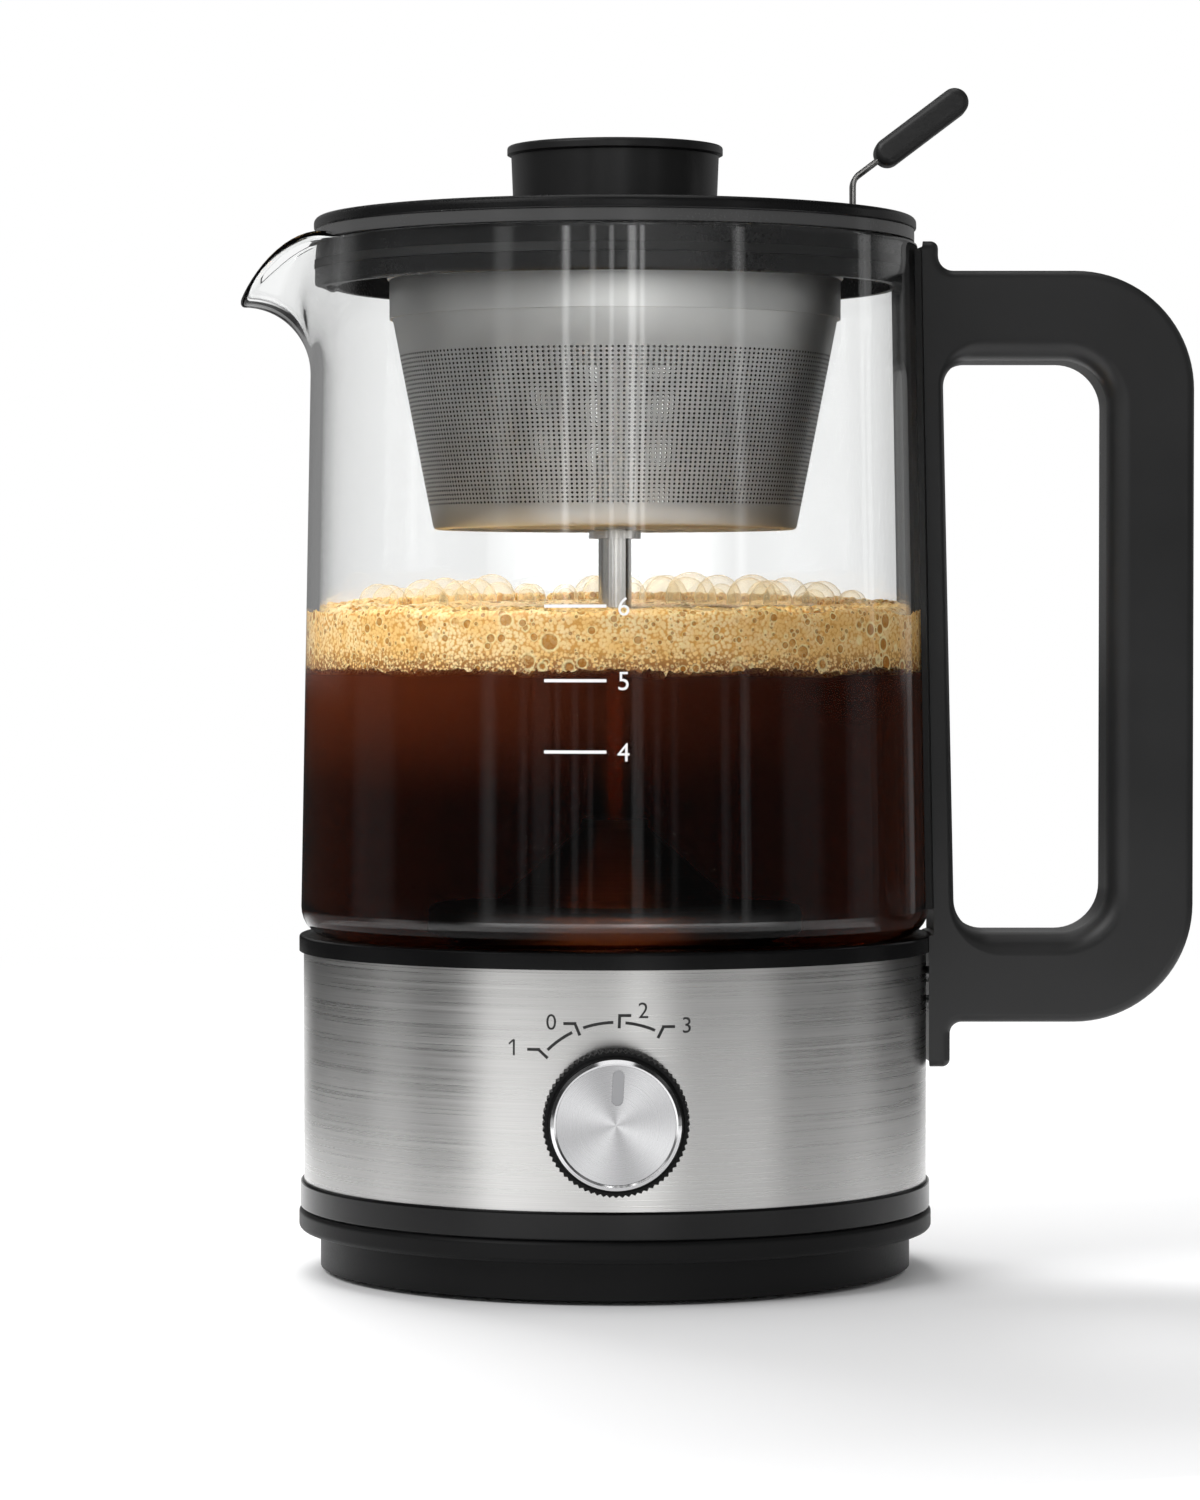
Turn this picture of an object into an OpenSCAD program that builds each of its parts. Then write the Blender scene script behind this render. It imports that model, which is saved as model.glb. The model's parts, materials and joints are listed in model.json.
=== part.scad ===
// Electric glass percolator: a glass jug on a steel heating base, standing on a cordless power base,
// with a lid, a wire thumb lever, and a perforated basket that rides on a perk tube.
// Millimetres, +Z up. The origin is on the jug's axis at table height, the spout points to -X,
// the handle to +X, and the dial faces -Y.

/* [Power base] */
// How far the power base's wall lies inside the steel band
base_in = 3.3; // [2.9:0.1:6]
// Height of the power base above its foot ring's seat
base_h = 9.6; // [9:0.1:13]
// How far the foot ring stands out below the power base
foot_h = 1; // [0.6:0.1:1.6]
// Wall of the moulded housings
shell_t = 2; // [1.6:0.1:2.4]
// How far the middle of the rubber foot ring lies inside the power base's wall
foot_ring_in = 7.9; // [7:0.1:10]
// Width of the rubber foot ring
foot_ring_w = 5; // [3:0.5:6]
// How far the base screws stand inside the power base's wall
base_screw_in = 18.9; // [17:0.1:24]
// Width of the cord outlet's flat opening
cord_w = 6.6; // [5:0.1:7.5]
// Height of the cord outlet's flat opening
cord_t = 3.6; // [3:0.1:4]

/* [Cordless coupling] */
// Radius of the coupling post
post_r = 12.4; // [11:0.1:14]
// Height of the coupling post above the power base
post_h = 11.4; // [9:0.1:14]
// Radius of the centre contact pin
contact_pin_r = 1.9; // [1.5:0.1:2.2]
// Inner radius of the ring contact
contact_ring_r = 7.2; // [6.5:0.1:8]

/* [Jug base] */
// Radius of the steel band, which the other round pieces follow
band_r = 62.2; // [58:0.1:68]
// How far the flange at the bottom of the jug stands out from the steel band
flange_out = 1; // [0.4:0.1:3]
// Height of the flange
flange_h = 4.3; // [4:0.1:6]
// How deep the power base sits in the jug's bottom
nest_depth = 2.2; // [1.5:0.1:2.4]
// How far the glossy trim ring stands out from the steel band
trim_out = 0.7; // [0.4:0.1:1.6]
// Height of the trim ring
trim_h = 5.5; // [4:0.1:8]
// Height of the steel band
band_h = 45.6; // [44:0.1:56]
// Sheet thickness of the steel band
band_t = 0.6; // [0.4:0.1:0.8]
// How far the black collar under the glass stands out from the steel band
collar_out = 0.9; // [0.7:0.1:2]
// Height of the black collar
collar_h = 3.2; // [2.8:0.1:4.2]
// Thickness of the collar's ledge under the glass
collar_ledge = 2.4; // [1.8:0.1:2.6]
// How far the cover screws stand inside the steel band
cover_screw_in = 10.2; // [9:0.1:12]

/* [Heater] */
// Radius of the raised heater plate inside the jug
plate_r = 28; // [26:0.1:30]
// Height of the heater plate above the glass floor
plate_rise = 4; // [3:0.1:5]
// Radius of the plate's neck through the glass floor
neck_r = 22; // [21:0.1:23]
// Length of the neck below the plate's rim
neck_len = 10; // [9:0.1:12]
// Thickness of the plate's sheet
plate_t = 1.2; // [0.8:0.1:1.6]
// Thickness of the seal's lips
seal_t = 0.8; // [0.6:0.1:1]
// Middle radius of the ring-shaped heating element
element_r = 14; // [13:0.1:15]
// Radius of the heating element's tube
element_tube_r = 3; // [2.4:0.1:3.2]
// Radius of the thermostat
thermostat_r = 8; // [6:0.1:9]

/* [Glass] */
// How far the glass stands out from the steel band above its rounded foot
glass_out = 0.5; // [0:0.1:0.7]
// How much narrower the glass is at its rim than above its foot
glass_taper = 2.5; // [1.5:0.1:3.2]
// Height of the glass
glass_h = 138; // [130:1:150]
// Thickness of the glass
glass_t = 2.5; // [2:0.1:3]
// Outer radius of the rounded foot
glass_round = 6; // [5:0.1:8]
// How far the spout reaches out beyond the rim
spout_reach = 14.3; // [10:0.1:18]
// How far the spout's tip lies below the rim
spout_drop = 12.2; // [8:0.1:14]
// How far below the rim the spout starts
spout_depth = 26.5; // [22:0.5:32]
// Half of the angle that the spout takes of the rim
spout_angle = 24; // [18:1:30]

/* [Handle] */
// How far the handle reaches out from the steel band
handle_reach = 52.3; // [48:0.1:62]
// Width of the vertical grip
grip_w = 17.1; // [14:0.1:20]
// Half of the handle's depth
grip_half_depth = 11.5; // [9:0.1:13]
// Height of the handle's top arm
arm_top_h = 17.8; // [15:0.1:20]
// Height of the handle's bottom arm
arm_bottom_h = 17.7; // [16.5:0.1:20]
// How far the handle's top lies below the rim
handle_top_drop = 5.9; // [4:0.1:8]
// Height of the handle's underside
handle_bottom_z = 49.9; // [49:0.1:50.6]
// Thickness of the handle's spine along the glass
spine_t = 4.5; // [4.2:0.1:6]
// How far the bottom lug reaches below the handle's underside
lug_drop = 8.9; // [6:0.1:12]
// Outer corner radius of the handle
handle_round = 23.5; // [18:0.5:28]
// Corner radius of the finger gap beside the grip
gap_round = 9; // [7:0.5:12]
// Radius of the handle's outer edges
edge_round = 1.8; // [1:0.1:2.4]
// Radius of the edges round the finger gap
gap_edge_round = 3; // [2:0.1:3.2]
// Thickness of the pad between handle and glass
pad_t = 1.2; // [0.8:0.1:1.4]
// Half of the pad's width
pad_half_w = 13; // [12:0.5:16]

/* [Dial] */
// Height of the dial's centre
dial_z = 35.5; // [34.5:0.1:38]
// Outer radius of the dial's ribbed skirt
dial_r = 13.8; // [13.4:0.1:15]
// Length of the dial
dial_len = 9.2; // [8.4:0.1:12]
// Length of the ribbed skirt
dial_skirt_len = 6.6; // [5:0.1:7]
// Number of ribs round the dial
dial_ribs = 72; // [36:2:90]
// Radius of the bright bevelled ring
bevel_r = 12.3; // [12:0.1:12.9]
// Radius of the spun face
face_r = 11.2; // [10.4:0.1:11.4]
// Width of the pointer
pointer_w = 2.2; // [1.6:0.1:3]
// Angle of the pointer, clockwise from the top
pointer_angle = 3; // [0:1:10]
// Radius of the switch shaft
shaft_r = 3; // [2.5:0.1:3.2]

/* [Lid] */
// How far the lid's top plate lies inside the glass
lid_in = 0.2; // [0:0.1:1.2]
// Thickness of the lid's top plate
lid_top_t = 2.5; // [2:0.1:3.5]
// Thickness of the lid body's rim under the top plate
lid_rim_t = 2.5; // [2:0.1:3.5]
// Depth of the lid's skirt inside the glass
skirt_depth = 9; // [8:0.1:11]
// Radius of the lip round the lid knob's top
knob_lip_r = 21.5; // [19:0.1:24]
// Radius of the lid knob where it meets the lid
knob_foot_r = 20.2; // [18.5:0.1:21]
// Height of the lid knob
knob_h = 14.4; // [12:0.1:18]
// Height of the lip round the lid knob's top
knob_lip_h = 1.7; // [1.2:0.1:2.4]

/* [Lever] */
// How far the lever's pivot lies inside the lid's edge
lever_in = 12.6; // [11.6:0.1:13]
// Radius of the lever's wire
wire_r = 0.55; // [0.4:0.05:0.7]
// Height of the wire's bend above its pivot
lever_rise = 14.8; // [13:0.1:18]
// Slope of the bent end above the horizontal
lever_slope = 37; // [25:1:50]
// Bare length of wire between its bend and the grip
lever_reach = 6; // [5:0.1:9]
// Length of the padded grip
pad_len = 22; // [16:0.5:28]
// Thickness of the padded grip
pad_h = 5.6; // [4.6:0.1:7]
// Width of the padded grip
pad_w = 9; // [8:0.1:12]
// Distance between the wire's two legs
leg_gap = 4.8; // [4:0.1:5]
// Largest turn of the lever
lever_turn = 28; // [15:1:30]

/* [Basket] */
// How far the basket's collar lies inside the glass
basket_in = 15.2; // [14.8:0.1:18]
// Height of the basket's collar
basket_collar_h = 8.7; // [6:0.1:9]
// How much narrower the basket is at its floor than at its collar
basket_taper = 8.8; // [6:0.1:11]
// Height of the basket's cup
basket_h = 41.7; // [36:0.1:44]
// How far the collar's lower edge lies below the rim
basket_drop = 15.2; // [15:0.1:20]
// Sheet thickness of the basket
sheet_t = 0.6; // [0.4:0.1:0.7]
// Radius of the holes in the basket's floor
floor_hole_r = 0.8; // [0.5:0.1:1]
// Radius of the holes in the spreader plate
spreader_hole_r = 1.1; // [0.7:0.1:1.3]

/* [Perk tube] */
// Outer radius of the perk tube
tube_r = 3.3; // [3:0.1:4]
// Wall of the perk tube
tube_t = 0.6; // [0.4:0.1:0.8]
// How far the tube's top lies below the rim
tube_top_drop = 5.1; // [5:0.1:8]
// Radius of the bell foot
bell_r = 17; // [15:0.1:20]
// Height of the bell foot
bell_h = 16.7; // [16:0.1:20]
// Lift of the valve disc
valve_lift = 2; // [1:0.1:2.2]

/* [Hidden] */
$fn = 96;
// Gaps between pieces
seat_gap = 0.3;
slip_gap = 0.2;
press_gap = 0.05;
overlap = 1;

// Radii that follow the steel band
base_r = band_r - base_in;
foot_ring_r = base_r - foot_ring_in;
base_screw_r = base_r - base_screw_in;
flange_r = band_r + flange_out;
trim_r = band_r + trim_out;
collar_r = band_r + collar_out;
cover_screw_r = band_r - cover_screw_in;
glass_foot_r = band_r + glass_out;
glass_rim_r = glass_foot_r - glass_taper;
handle_x = band_r + handle_reach;
lid_r = glass_rim_r - lid_in;
lever_x = lid_r - lever_in;
basket_r = glass_rim_r - basket_in;
basket_floor_r = basket_r - basket_taper;

// Heights of the stack, from the table up
shell_z = foot_h;
base_top_z = foot_h + base_h;
cover_floor_z = base_top_z + seat_gap;
flange_z = base_top_z - nest_depth;
flange_top_z = flange_z + flange_h;
band_z = flange_top_z + trim_h;
band_top_z = band_z + band_h;
collar_top_z = band_top_z + collar_h;
glass_z = band_top_z + collar_ledge + seat_gap;
glass_corner_z = glass_z + glass_round;
floor_z = glass_z + glass_t;
rim_z = glass_z + glass_h;
lid_top_z = rim_z + lid_rim_t;
lid_face_z = lid_top_z + lid_top_t;

// Power base and coupling
plate_h = 1.8;
plate_top_z = shell_z + plate_h;
screw_r = 1.2;
screw_head_r = 2.8;
screw_head_h = 1;
screw_post_r = 3.2;
post_top_z = base_top_z + post_h;
post_neck_r = post_r + 2.4;
post_flange_r = post_neck_r + 3.4;
post_floor_z = base_top_z + 2;
contact_t = 0.5;
pin_hole_r = contact_pin_r + contact_t + 2 * seat_gap;
ring_slot_r = contact_ring_r + contact_t + seat_gap;
gland_w = cord_w + 4;
gland_h = cord_t + 2;
gland_z = (plate_top_z + base_top_z - shell_t) / 2;
gland_len = 6;
socket_bore_r = post_r + 2 * slip_gap;
socket_r = socket_bore_r + shell_t + 1.6;
socket_flange_r = socket_r + 4.5;
socket_flange_z = flange_top_z + seat_gap;
socket_top_z = post_top_z + 1.5;

// Jug base
band_in_r = band_r - band_t;
tub_r = band_in_r - slip_gap;
tub_in_r = tub_r - shell_t;
tub_deck_in = 12;
tub_deck_r = neck_r + tub_deck_in;
deck_t = 2;
tub_flat_y = tub_in_r - 4.2;
tub_pad_w = 24;
handle_flat_x = tub_in_r - 2;
handle_flat_w = 12;
handle_screw_r = 1.6;
handle_arc_steps = 6;
lug_round = 1.5;
low_hollow_round = 2.3;
high_hollow_round = 3;
gap_low_round = 6.5;
gap_high_round = 5;
handle_head_r = 2.8;
handle_screw_top_z = band_top_z - deck_t - handle_head_r - seat_gap;
handle_screw_z = [handle_screw_top_z - 2 * handle_head_r - slip_gap, handle_screw_top_z];
handle_screw_len = 14;
handle_top_z = rim_z - handle_top_drop;
lug_top_z = rim_z - 2 * press_gap;
lug_x = glass_rim_r + pad_t + 2.4;
low_lug_x = collar_r + 3.3;
spine_edge = 0.3;
bush_r = 4.5;
bush_hole_r = bush_r + slip_gap;
bush_out = 2.6;
nut_h = 2.2;
nut_r = 6.4;
switch_w = 20;
switch_depth = 15;
dial_gap = 0.6;
dial_y = -(band_r + dial_gap);
// Heights on the dial, from its back
face_floor = dial_len - 1.6;
pointer_floor = dial_len - 1.1;
knob_front = dial_len - 1;
bevel_edge = dial_len - 0.7;
face_front = dial_len - 0.5;
shaft_end = dial_len - 3;

// Heater
plate_z = floor_z + seal_t;
plate_face_z = floor_z + plate_rise;
neck_z = plate_z - neck_len;
glass_hole_r = neck_r + 2.5;
nut_flange_r = neck_r + 8;
clamp_top_z = glass_z - seal_t;
element_z = plate_face_z - plate_t - element_tube_r - slip_gap;
fuse_r = 2;
fuse_len = 12;

// Lid
skirt_r = glass_rim_r - glass_t - 0.5;
skirt_in_r = skirt_r - shell_t;
skirt_z = rim_z - skirt_depth;
seal_groove = 0.9;
lid_seal_h = 1.8;
lid_seal_z = skirt_z + skirt_depth * 0.4;
knob_screw_r = 1.6;
pivot_z = rim_z - 1.9;
pin_bend_r = 1;
lever_bend_r = 3;
wire_embed = 8;
wire_step = 0.01;
ear_t = 2;
ear_y = leg_gap / 2 + pin_bend_r + slip_gap;
ear_half_w = 2.2;
ear_drop = 1.6;
slot_w = leg_gap + 2 * wire_r + 1;

// Basket and tube
basket_collar_z = rim_z - basket_drop;
basket_floor_z = basket_collar_z - basket_h;
cup_r = basket_r - sheet_t - press_gap;
cup_lip_z = basket_collar_z + 1.7;
basket_ledge = 3;
basket_plate_z = basket_floor_z + sheet_t;
sleeve_in_r = tube_r + seat_gap;
sleeve_r = sleeve_in_r + sheet_t;
sleeve_h = 14;
stop_top_z = basket_floor_z - seat_gap;
stop_h = 1.5;
spreader_z = cup_lip_z + seat_gap;
tube_top_z = rim_z - tube_top_drop;
bell_z = plate_face_z + seat_gap;
bell_top_z = bell_z + bell_h;
bell_t = 1;
valve_seat_t = 0.8;
valve_seat_z = bell_z + 0.3;
valve_z = valve_seat_z + valve_seat_t + seat_gap;
valve_t = 0.5;
valve_r = 6.5;
tube_z = valve_z + valve_t + valve_lift + 5;

// Points of an arc about c, from angle a0 to a1
function arc(c, r, a0, a1, n = 6) =
    [for (i = [0:n]) let (a = a0 + (a1 - a0) * i / n) c + r * [cos(a), sin(a)]];

// Outer radius of the glass wall at height z
function glass_r(z) =
    glass_foot_r + (glass_rim_r - glass_foot_r) * (z - glass_corner_z) / (rim_z - glass_corner_z);

function unit(v) = v / norm(v);

// Points of one rounded corner of an outline that is drawn inset by d
function corner_points(before, p, after, r, d, n) =
    let (
        u = unit(before - p),
        v = unit(after - p),
        turn = cross(p - before, after - p) > 0 ? 1 : -1,
        half = acos(u * v) / 2,
        middle = unit(u + v),
        q = p + turn * middle * d / sin(half),
        round_r = max(r - turn * d, 0.05),
        c = q + middle * round_r / sin(half),
        start = q + u * round_r / tan(half) - c,
        a0 = atan2(start[1], start[0])
    )
    arc(c, round_r, a0, a0 + turn * (180 - 2 * half), n);

// Rounded outline from corners of x, y and radius, taken anticlockwise and inset by d
function outline(corners, d, n = 6) =
    let (
        count = len(corners),
        at = [for (c = corners) [c[0], c[1]]]
    )
    [for (i = [0:count - 1]) each corner_points(
        at[(i + count - 1) % count], at[i], at[(i + 1) % count], corners[i][2], d, n)];

// Steps of height and inset along a rounded edge of radius r, out to half a depth
function edge_steps(half_depth, r, side, n = 4) = concat(
    [for (i = [0:n]) [-half_depth + r - r * cos(90 * i / n), side * (r - r * sin(90 * i / n))]],
    [for (i = [n:-1:0]) [half_depth - r + r * cos(90 * i / n), side * (r - r * sin(90 * i / n))]]);

// Closed solid through a row of loops that have the same number of points, its ends cut into fans
module loft(loops, fans = undef) {
    m = len(loops[0]);
    last = len(loops) - 1;
    points = [for (loop = loops) each loop];
    sides = [for (i = [0:last - 1]) for (j = [0:m - 1])
        let (a = i * m + j, b = i * m + (j + 1) % m)
        each [[a, a + m, b + m], [a, b + m, b]]];
    first_cap = is_undef(fans)
        ? [[for (j = [0:m - 1]) j]]
        : [for (f = fans) for (k = [1:len(f) - 2]) [f[0], f[k], f[k + 1]]];
    last_cap = [for (f = first_cap) [for (k = [len(f) - 1:-1:0]) last * m + f[k]]];
    polyhedron(points = points, faces = concat(sides, first_cap, last_cap), convexity = 8);
}

// Slab with a rounded outline, standing in the XZ plane, with its edges shaped by steps
module slab(corners, steps) {
    rotate([90, 0, 0])
        loft([for (s = steps) [for (p = outline(corners, s[1])) [p[0], p[1], s[0]]]]);
}

// Ring of square section
module ring(r_in, r_out, z0, z1) {
    rotate_extrude()
        translate([r_in, z0])
            square([r_out - r_in, z1 - z0]);
}

module disc(r, z0, z1) {
    translate([0, 0, z0])
        cylinder(r = r, h = z1 - z0);
}

// Copies on a circle about the jug's axis
module around(count, r, start = 0) {
    for (i = [0:count - 1])
        rotate([0, 0, start + 360 * i / count])
            translate([r, 0, 0])
                children();
}

// Cylinder along -Y from y0 outwards, at the dial's height
module dial_bar(r, y0, y1) {
    translate([0, y0, dial_z])
        rotate([90, 0, 0])
            cylinder(r = r, h = y0 - y1);
}

// Cylinder along +X at height z
module side_bar(r, x0, x1, z) {
    translate([x0, 0, z])
        rotate([0, 90, 0])
            cylinder(r = r, h = x1 - x0);
}

// Holes on rings, rows outwards from r0
module hole_rings(hole_r, r0, r1, pitch, z0, z1) {
    rows = floor((r1 - r0) / pitch);
    for (i = [0:rows]) {
        r = r0 + pitch * i;
        around(floor(2 * PI * r / (pitch * 1.1)), r, 7 * i)
            disc(hole_r, z0, z1);
    }
}

// Power base

module foot_ring() {
    color("dimgray")
        ring(foot_ring_r - foot_ring_w / 2, foot_ring_r + foot_ring_w / 2, 0, shell_z + plate_h / 2);
}

module base_shell() {
    top_round = 1.2;
    color("black")
        difference() {
            union() {
                rotate_extrude()
                    polygon(concat(
                        [[post_neck_r + slip_gap, base_top_z - shell_t],
                         [base_r - shell_t, base_top_z - shell_t],
                         [base_r - shell_t, shell_z],
                         [base_r, shell_z]],
                        arc([base_r - top_round, base_top_z - top_round], top_round, 0, 90),
                        [[post_neck_r + slip_gap, base_top_z]]));
                around(4, base_screw_r, 45)
                    disc(screw_post_r, plate_top_z, base_top_z - shell_t / 2);
            }
            around(4, base_screw_r, 45)
                disc(screw_r + press_gap, plate_top_z - overlap, base_top_z - shell_t);
            translate([-gland_w / 2, base_r - shell_t - overlap, gland_z - gland_h / 2])
                cube([gland_w, shell_t + 2 * overlap, gland_h]);
        }
}

module base_plate() {
    color("black")
        difference() {
            disc(base_r - shell_t - slip_gap, shell_z, plate_top_z);
            ring(foot_ring_r - foot_ring_w / 2, foot_ring_r + foot_ring_w / 2,
                 shell_z - overlap, shell_z + plate_h / 2);
            around(4, base_screw_r, 45) {
                disc(screw_r + slip_gap, shell_z - overlap, plate_top_z + overlap);
                disc(screw_head_r + slip_gap, shell_z - overlap, shell_z + screw_head_h);
            }
        }
}

module base_screws() {
    color("silver")
        around(4, base_screw_r, 45) {
            disc(screw_head_r, shell_z + press_gap, shell_z + screw_head_h);
            disc(screw_r, shell_z + screw_head_h - press_gap, base_top_z - shell_t - slip_gap);
        }
}

module base_connector() {
    top_round = 1;
    color("black")
        rotate_extrude()
            difference() {
                polygon(concat(
                    [[0, base_top_z - 2 * shell_t],
                     [post_flange_r, base_top_z - 2 * shell_t],
                     [post_flange_r, base_top_z - shell_t],
                     [post_neck_r, base_top_z - shell_t],
                     [post_neck_r, base_top_z],
                     [post_r, base_top_z]],
                    arc([post_r - top_round, post_top_z - top_round], top_round, 0, 90),
                    [[0, post_top_z]]));
                translate([0, post_floor_z])
                    square([pin_hole_r, post_h]);
                translate([contact_ring_r - seat_gap, post_floor_z])
                    square([ring_slot_r + contact_t - contact_ring_r + seat_gap, post_h]);
            }
}

module base_contacts() {
    color("gold") {
        ring(pin_hole_r - contact_t, pin_hole_r, post_floor_z, post_top_z - 2);
        ring(ring_slot_r, ring_slot_r + contact_t, post_floor_z, post_top_z - 2);
    }
}

module cord_gland() {
    lip = 1.2;
    body_h = gland_h - 2 * slip_gap;
    body_z = gland_z - body_h / 2;
    wall_y = sqrt(pow(base_r - shell_t, 2) - pow(gland_w / 2 + lip, 2)) - slip_gap;
    color("black")
        difference() {
            union() {
                translate([-gland_w / 2 + slip_gap, base_r - gland_len, body_z])
                    cube([gland_w - 2 * slip_gap, gland_len, body_h]);
                translate([-gland_w / 2 - lip, wall_y - lip, body_z])
                    cube([gland_w + 2 * lip, lip, body_h]);
            }
            translate([0, base_r + overlap, gland_z])
                rotate([90, 0, 0])
                    linear_extrude(gland_len + 2 * overlap)
                        flat_hole(cord_w, cord_t);
        }
}

// Flat hole with round ends
module flat_hole(w, t) {
    polygon(concat(
        arc([(w - t) / 2, 0], t / 2, -90, 90, 12),
        arc([-(w - t) / 2, 0], t / 2, 90, 270, 12)));
}

// Coupling under the jug

module jug_socket() {
    color("black")
        rotate_extrude()
            polygon([
                [socket_bore_r, cover_floor_z],
                [socket_r, cover_floor_z],
                [socket_r, socket_flange_z],
                [socket_flange_r, socket_flange_z],
                [socket_flange_r, socket_flange_z + shell_t],
                [socket_r, socket_flange_z + shell_t],
                [socket_r, socket_top_z + shell_t],
                [0, socket_top_z + shell_t],
                [0, socket_top_z],
                [socket_bore_r, socket_top_z]]);
}

module socket_contacts() {
    color("gold") {
        disc(contact_pin_r, post_floor_z + seat_gap, socket_top_z);
        ring(contact_ring_r, contact_ring_r + contact_t, post_floor_z + seat_gap, socket_top_z);
    }
}

// Jug base

module bottom_cover() {
    edge = 1;
    skirt_in = base_r + 0.8;
    lip_r = tub_in_r - slip_gap;
    lip_t = 1.6;
    lip_h = 3;
    color([0.07, 0.07, 0.07])
        difference() {
            rotate_extrude()
                polygon(concat(
                    [[socket_r + seat_gap, cover_floor_z],
                     [skirt_in, cover_floor_z],
                     [skirt_in, flange_z]],
                    arc([flange_r - edge, flange_z + edge], edge, -90, 0),
                    arc([flange_r - edge, flange_top_z - edge], edge, 0, 90),
                    [[lip_r, flange_top_z],
                     [lip_r, flange_top_z + lip_h],
                     [lip_r - lip_t, flange_top_z + lip_h],
                     [lip_r - lip_t, flange_top_z],
                     [socket_r + seat_gap, flange_top_z]]));
            around(4, cover_screw_r, 45) {
                disc(screw_r + slip_gap, cover_floor_z - overlap, flange_top_z + overlap);
                disc(screw_head_r + slip_gap, cover_floor_z - overlap, cover_floor_z + screw_head_h);
            }
        }
}

module cover_screws() {
    screw_len = 12;
    color("silver")
        around(4, cover_screw_r, 45) {
            disc(screw_head_r, cover_floor_z + press_gap, cover_floor_z + screw_head_h);
            disc(screw_r, cover_floor_z + screw_head_h - press_gap, cover_floor_z + screw_len);
        }
}

module trim_ring() {
    edge = 0.5;
    color([0.03, 0.03, 0.03])
        rotate_extrude()
            polygon(concat(
                [[band_in_r, flange_top_z]],
                arc([trim_r - edge, flange_top_z + edge], edge, -90, 0, 4),
                arc([trim_r - edge, band_z - edge], edge, 0, 90, 4),
                [[band_in_r, band_z]]));
}

module base_tub() {
    screw_hole = 14;
    color("dimgray")
        difference() {
            union() {
                rotate_extrude()
                    polygon([
                        [tub_in_r, flange_top_z],
                        [tub_r, flange_top_z],
                        [tub_r, band_top_z],
                        [tub_deck_r, band_top_z],
                        [tub_deck_r, band_top_z - deck_t],
                        [tub_in_r, band_top_z - deck_t]]);
                around(4, cover_screw_r, 45)
                    disc(screw_post_r, flange_top_z, band_top_z - deck_t / 2);
                intersection() {
                    disc(tub_r - shell_t / 2, flange_top_z + deck_t, band_top_z - deck_t / 2);
                    union() {
                        translate([-tub_pad_w / 2, -tub_r, dial_z - tub_pad_w / 2])
                            cube([tub_pad_w, tub_r - tub_flat_y, tub_pad_w]);
                        translate([handle_flat_x, -handle_flat_w / 2, handle_bottom_z - overlap])
                            cube([tub_r, handle_flat_w, band_top_z]);
                    }
                }
            }
            around(4, cover_screw_r, 45)
                disc(screw_r + press_gap, flange_top_z - overlap, flange_top_z + screw_hole);
            dial_bar(bush_hole_r, 0, -tub_r - overlap);
            for (z = handle_screw_z)
                side_bar(handle_screw_r + slip_gap, 0, tub_r + overlap, z);
        }
}

module steel_band() {
    color("silver")
        difference() {
            ring(band_in_r, band_r, band_z, band_top_z);
            dial_bar(bush_hole_r, 0, -band_r - overlap);
            for (z = handle_screw_z)
                side_bar(handle_screw_r + slip_gap, 0, band_r + overlap, z);
        }
}

module collar_ring() {
    edge = 0.5;
    centre = [glass_foot_r - glass_round, glass_corner_z];
    seat_r = glass_round + seat_gap;
    seat_end = asin((collar_top_z - glass_corner_z) / seat_r);
    color([0.05, 0.05, 0.05])
        rotate_extrude()
            polygon(concat(
                [[tub_deck_r, band_top_z],
                 [collar_r, band_top_z]],
                arc([collar_r - edge, collar_top_z - edge], edge, 0, 90, 4),
                arc(centre, seat_r, seat_end, -90),
                [[tub_deck_r, glass_z - seat_gap]]));
}

// Heater

module heater_plate() {
    edge = 1.2;
    neck_t = 1.5;
    color("silver")
        rotate_extrude()
            polygon(concat(
                [[neck_r - neck_t, neck_z],
                 [neck_r, neck_z],
                 [neck_r, plate_z],
                 [plate_r, plate_z]],
                arc([plate_r - edge, plate_face_z - edge], edge, 0, 90),
                [[0, plate_face_z],
                 [0, plate_face_z - plate_t],
                 [neck_r - neck_t, plate_face_z - plate_t]]));
}

module plate_seal() {
    color("darkred")
        rotate_extrude()
            polygon([
                [neck_r + slip_gap, clamp_top_z],
                [nut_flange_r, clamp_top_z],
                [nut_flange_r, glass_z],
                [glass_hole_r - slip_gap, glass_z],
                [glass_hole_r - slip_gap, floor_z],
                [plate_r, floor_z],
                [plate_r, plate_z],
                [neck_r + slip_gap, plate_z]]);
}

module clamp_nut() {
    notch = 4;
    nut_t = clamp_top_z - neck_z - 1;
    color("gray")
        difference() {
            ring(neck_r + press_gap, nut_flange_r, clamp_top_z - nut_t, clamp_top_z);
            around(6, nut_flange_r)
                translate([-notch / 2, -notch / 2, clamp_top_z - nut_t - overlap])
                    cube([notch, notch, nut_t + 2 * overlap]);
        }
}

module heater_element() {
    lead_r = 1.6;
    lead_len = 8;
    color("gray")
        union() {
            rotate([0, 0, 20])
                rotate_extrude(angle = 320)
                    translate([element_r, element_z])
                        circle(r = element_tube_r);
            for (a = [25, 335])
                rotate([0, 0, a])
                    translate([element_r, 0, 0])
                        disc(lead_r, element_z - element_tube_r - lead_len, element_z);
        }
}

module thermostat() {
    can_h = 6;
    tab_h = 5;
    top = plate_face_z - plate_t - slip_gap;
    color("white")
        union() {
            disc(thermostat_r, top - can_h, top);
            for (s = [-1, 1])
                translate([s * thermostat_r / 2 - 0.4, -2, top - can_h - tab_h])
                    cube([0.8, 4, tab_h + overlap]);
        }
}

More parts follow.
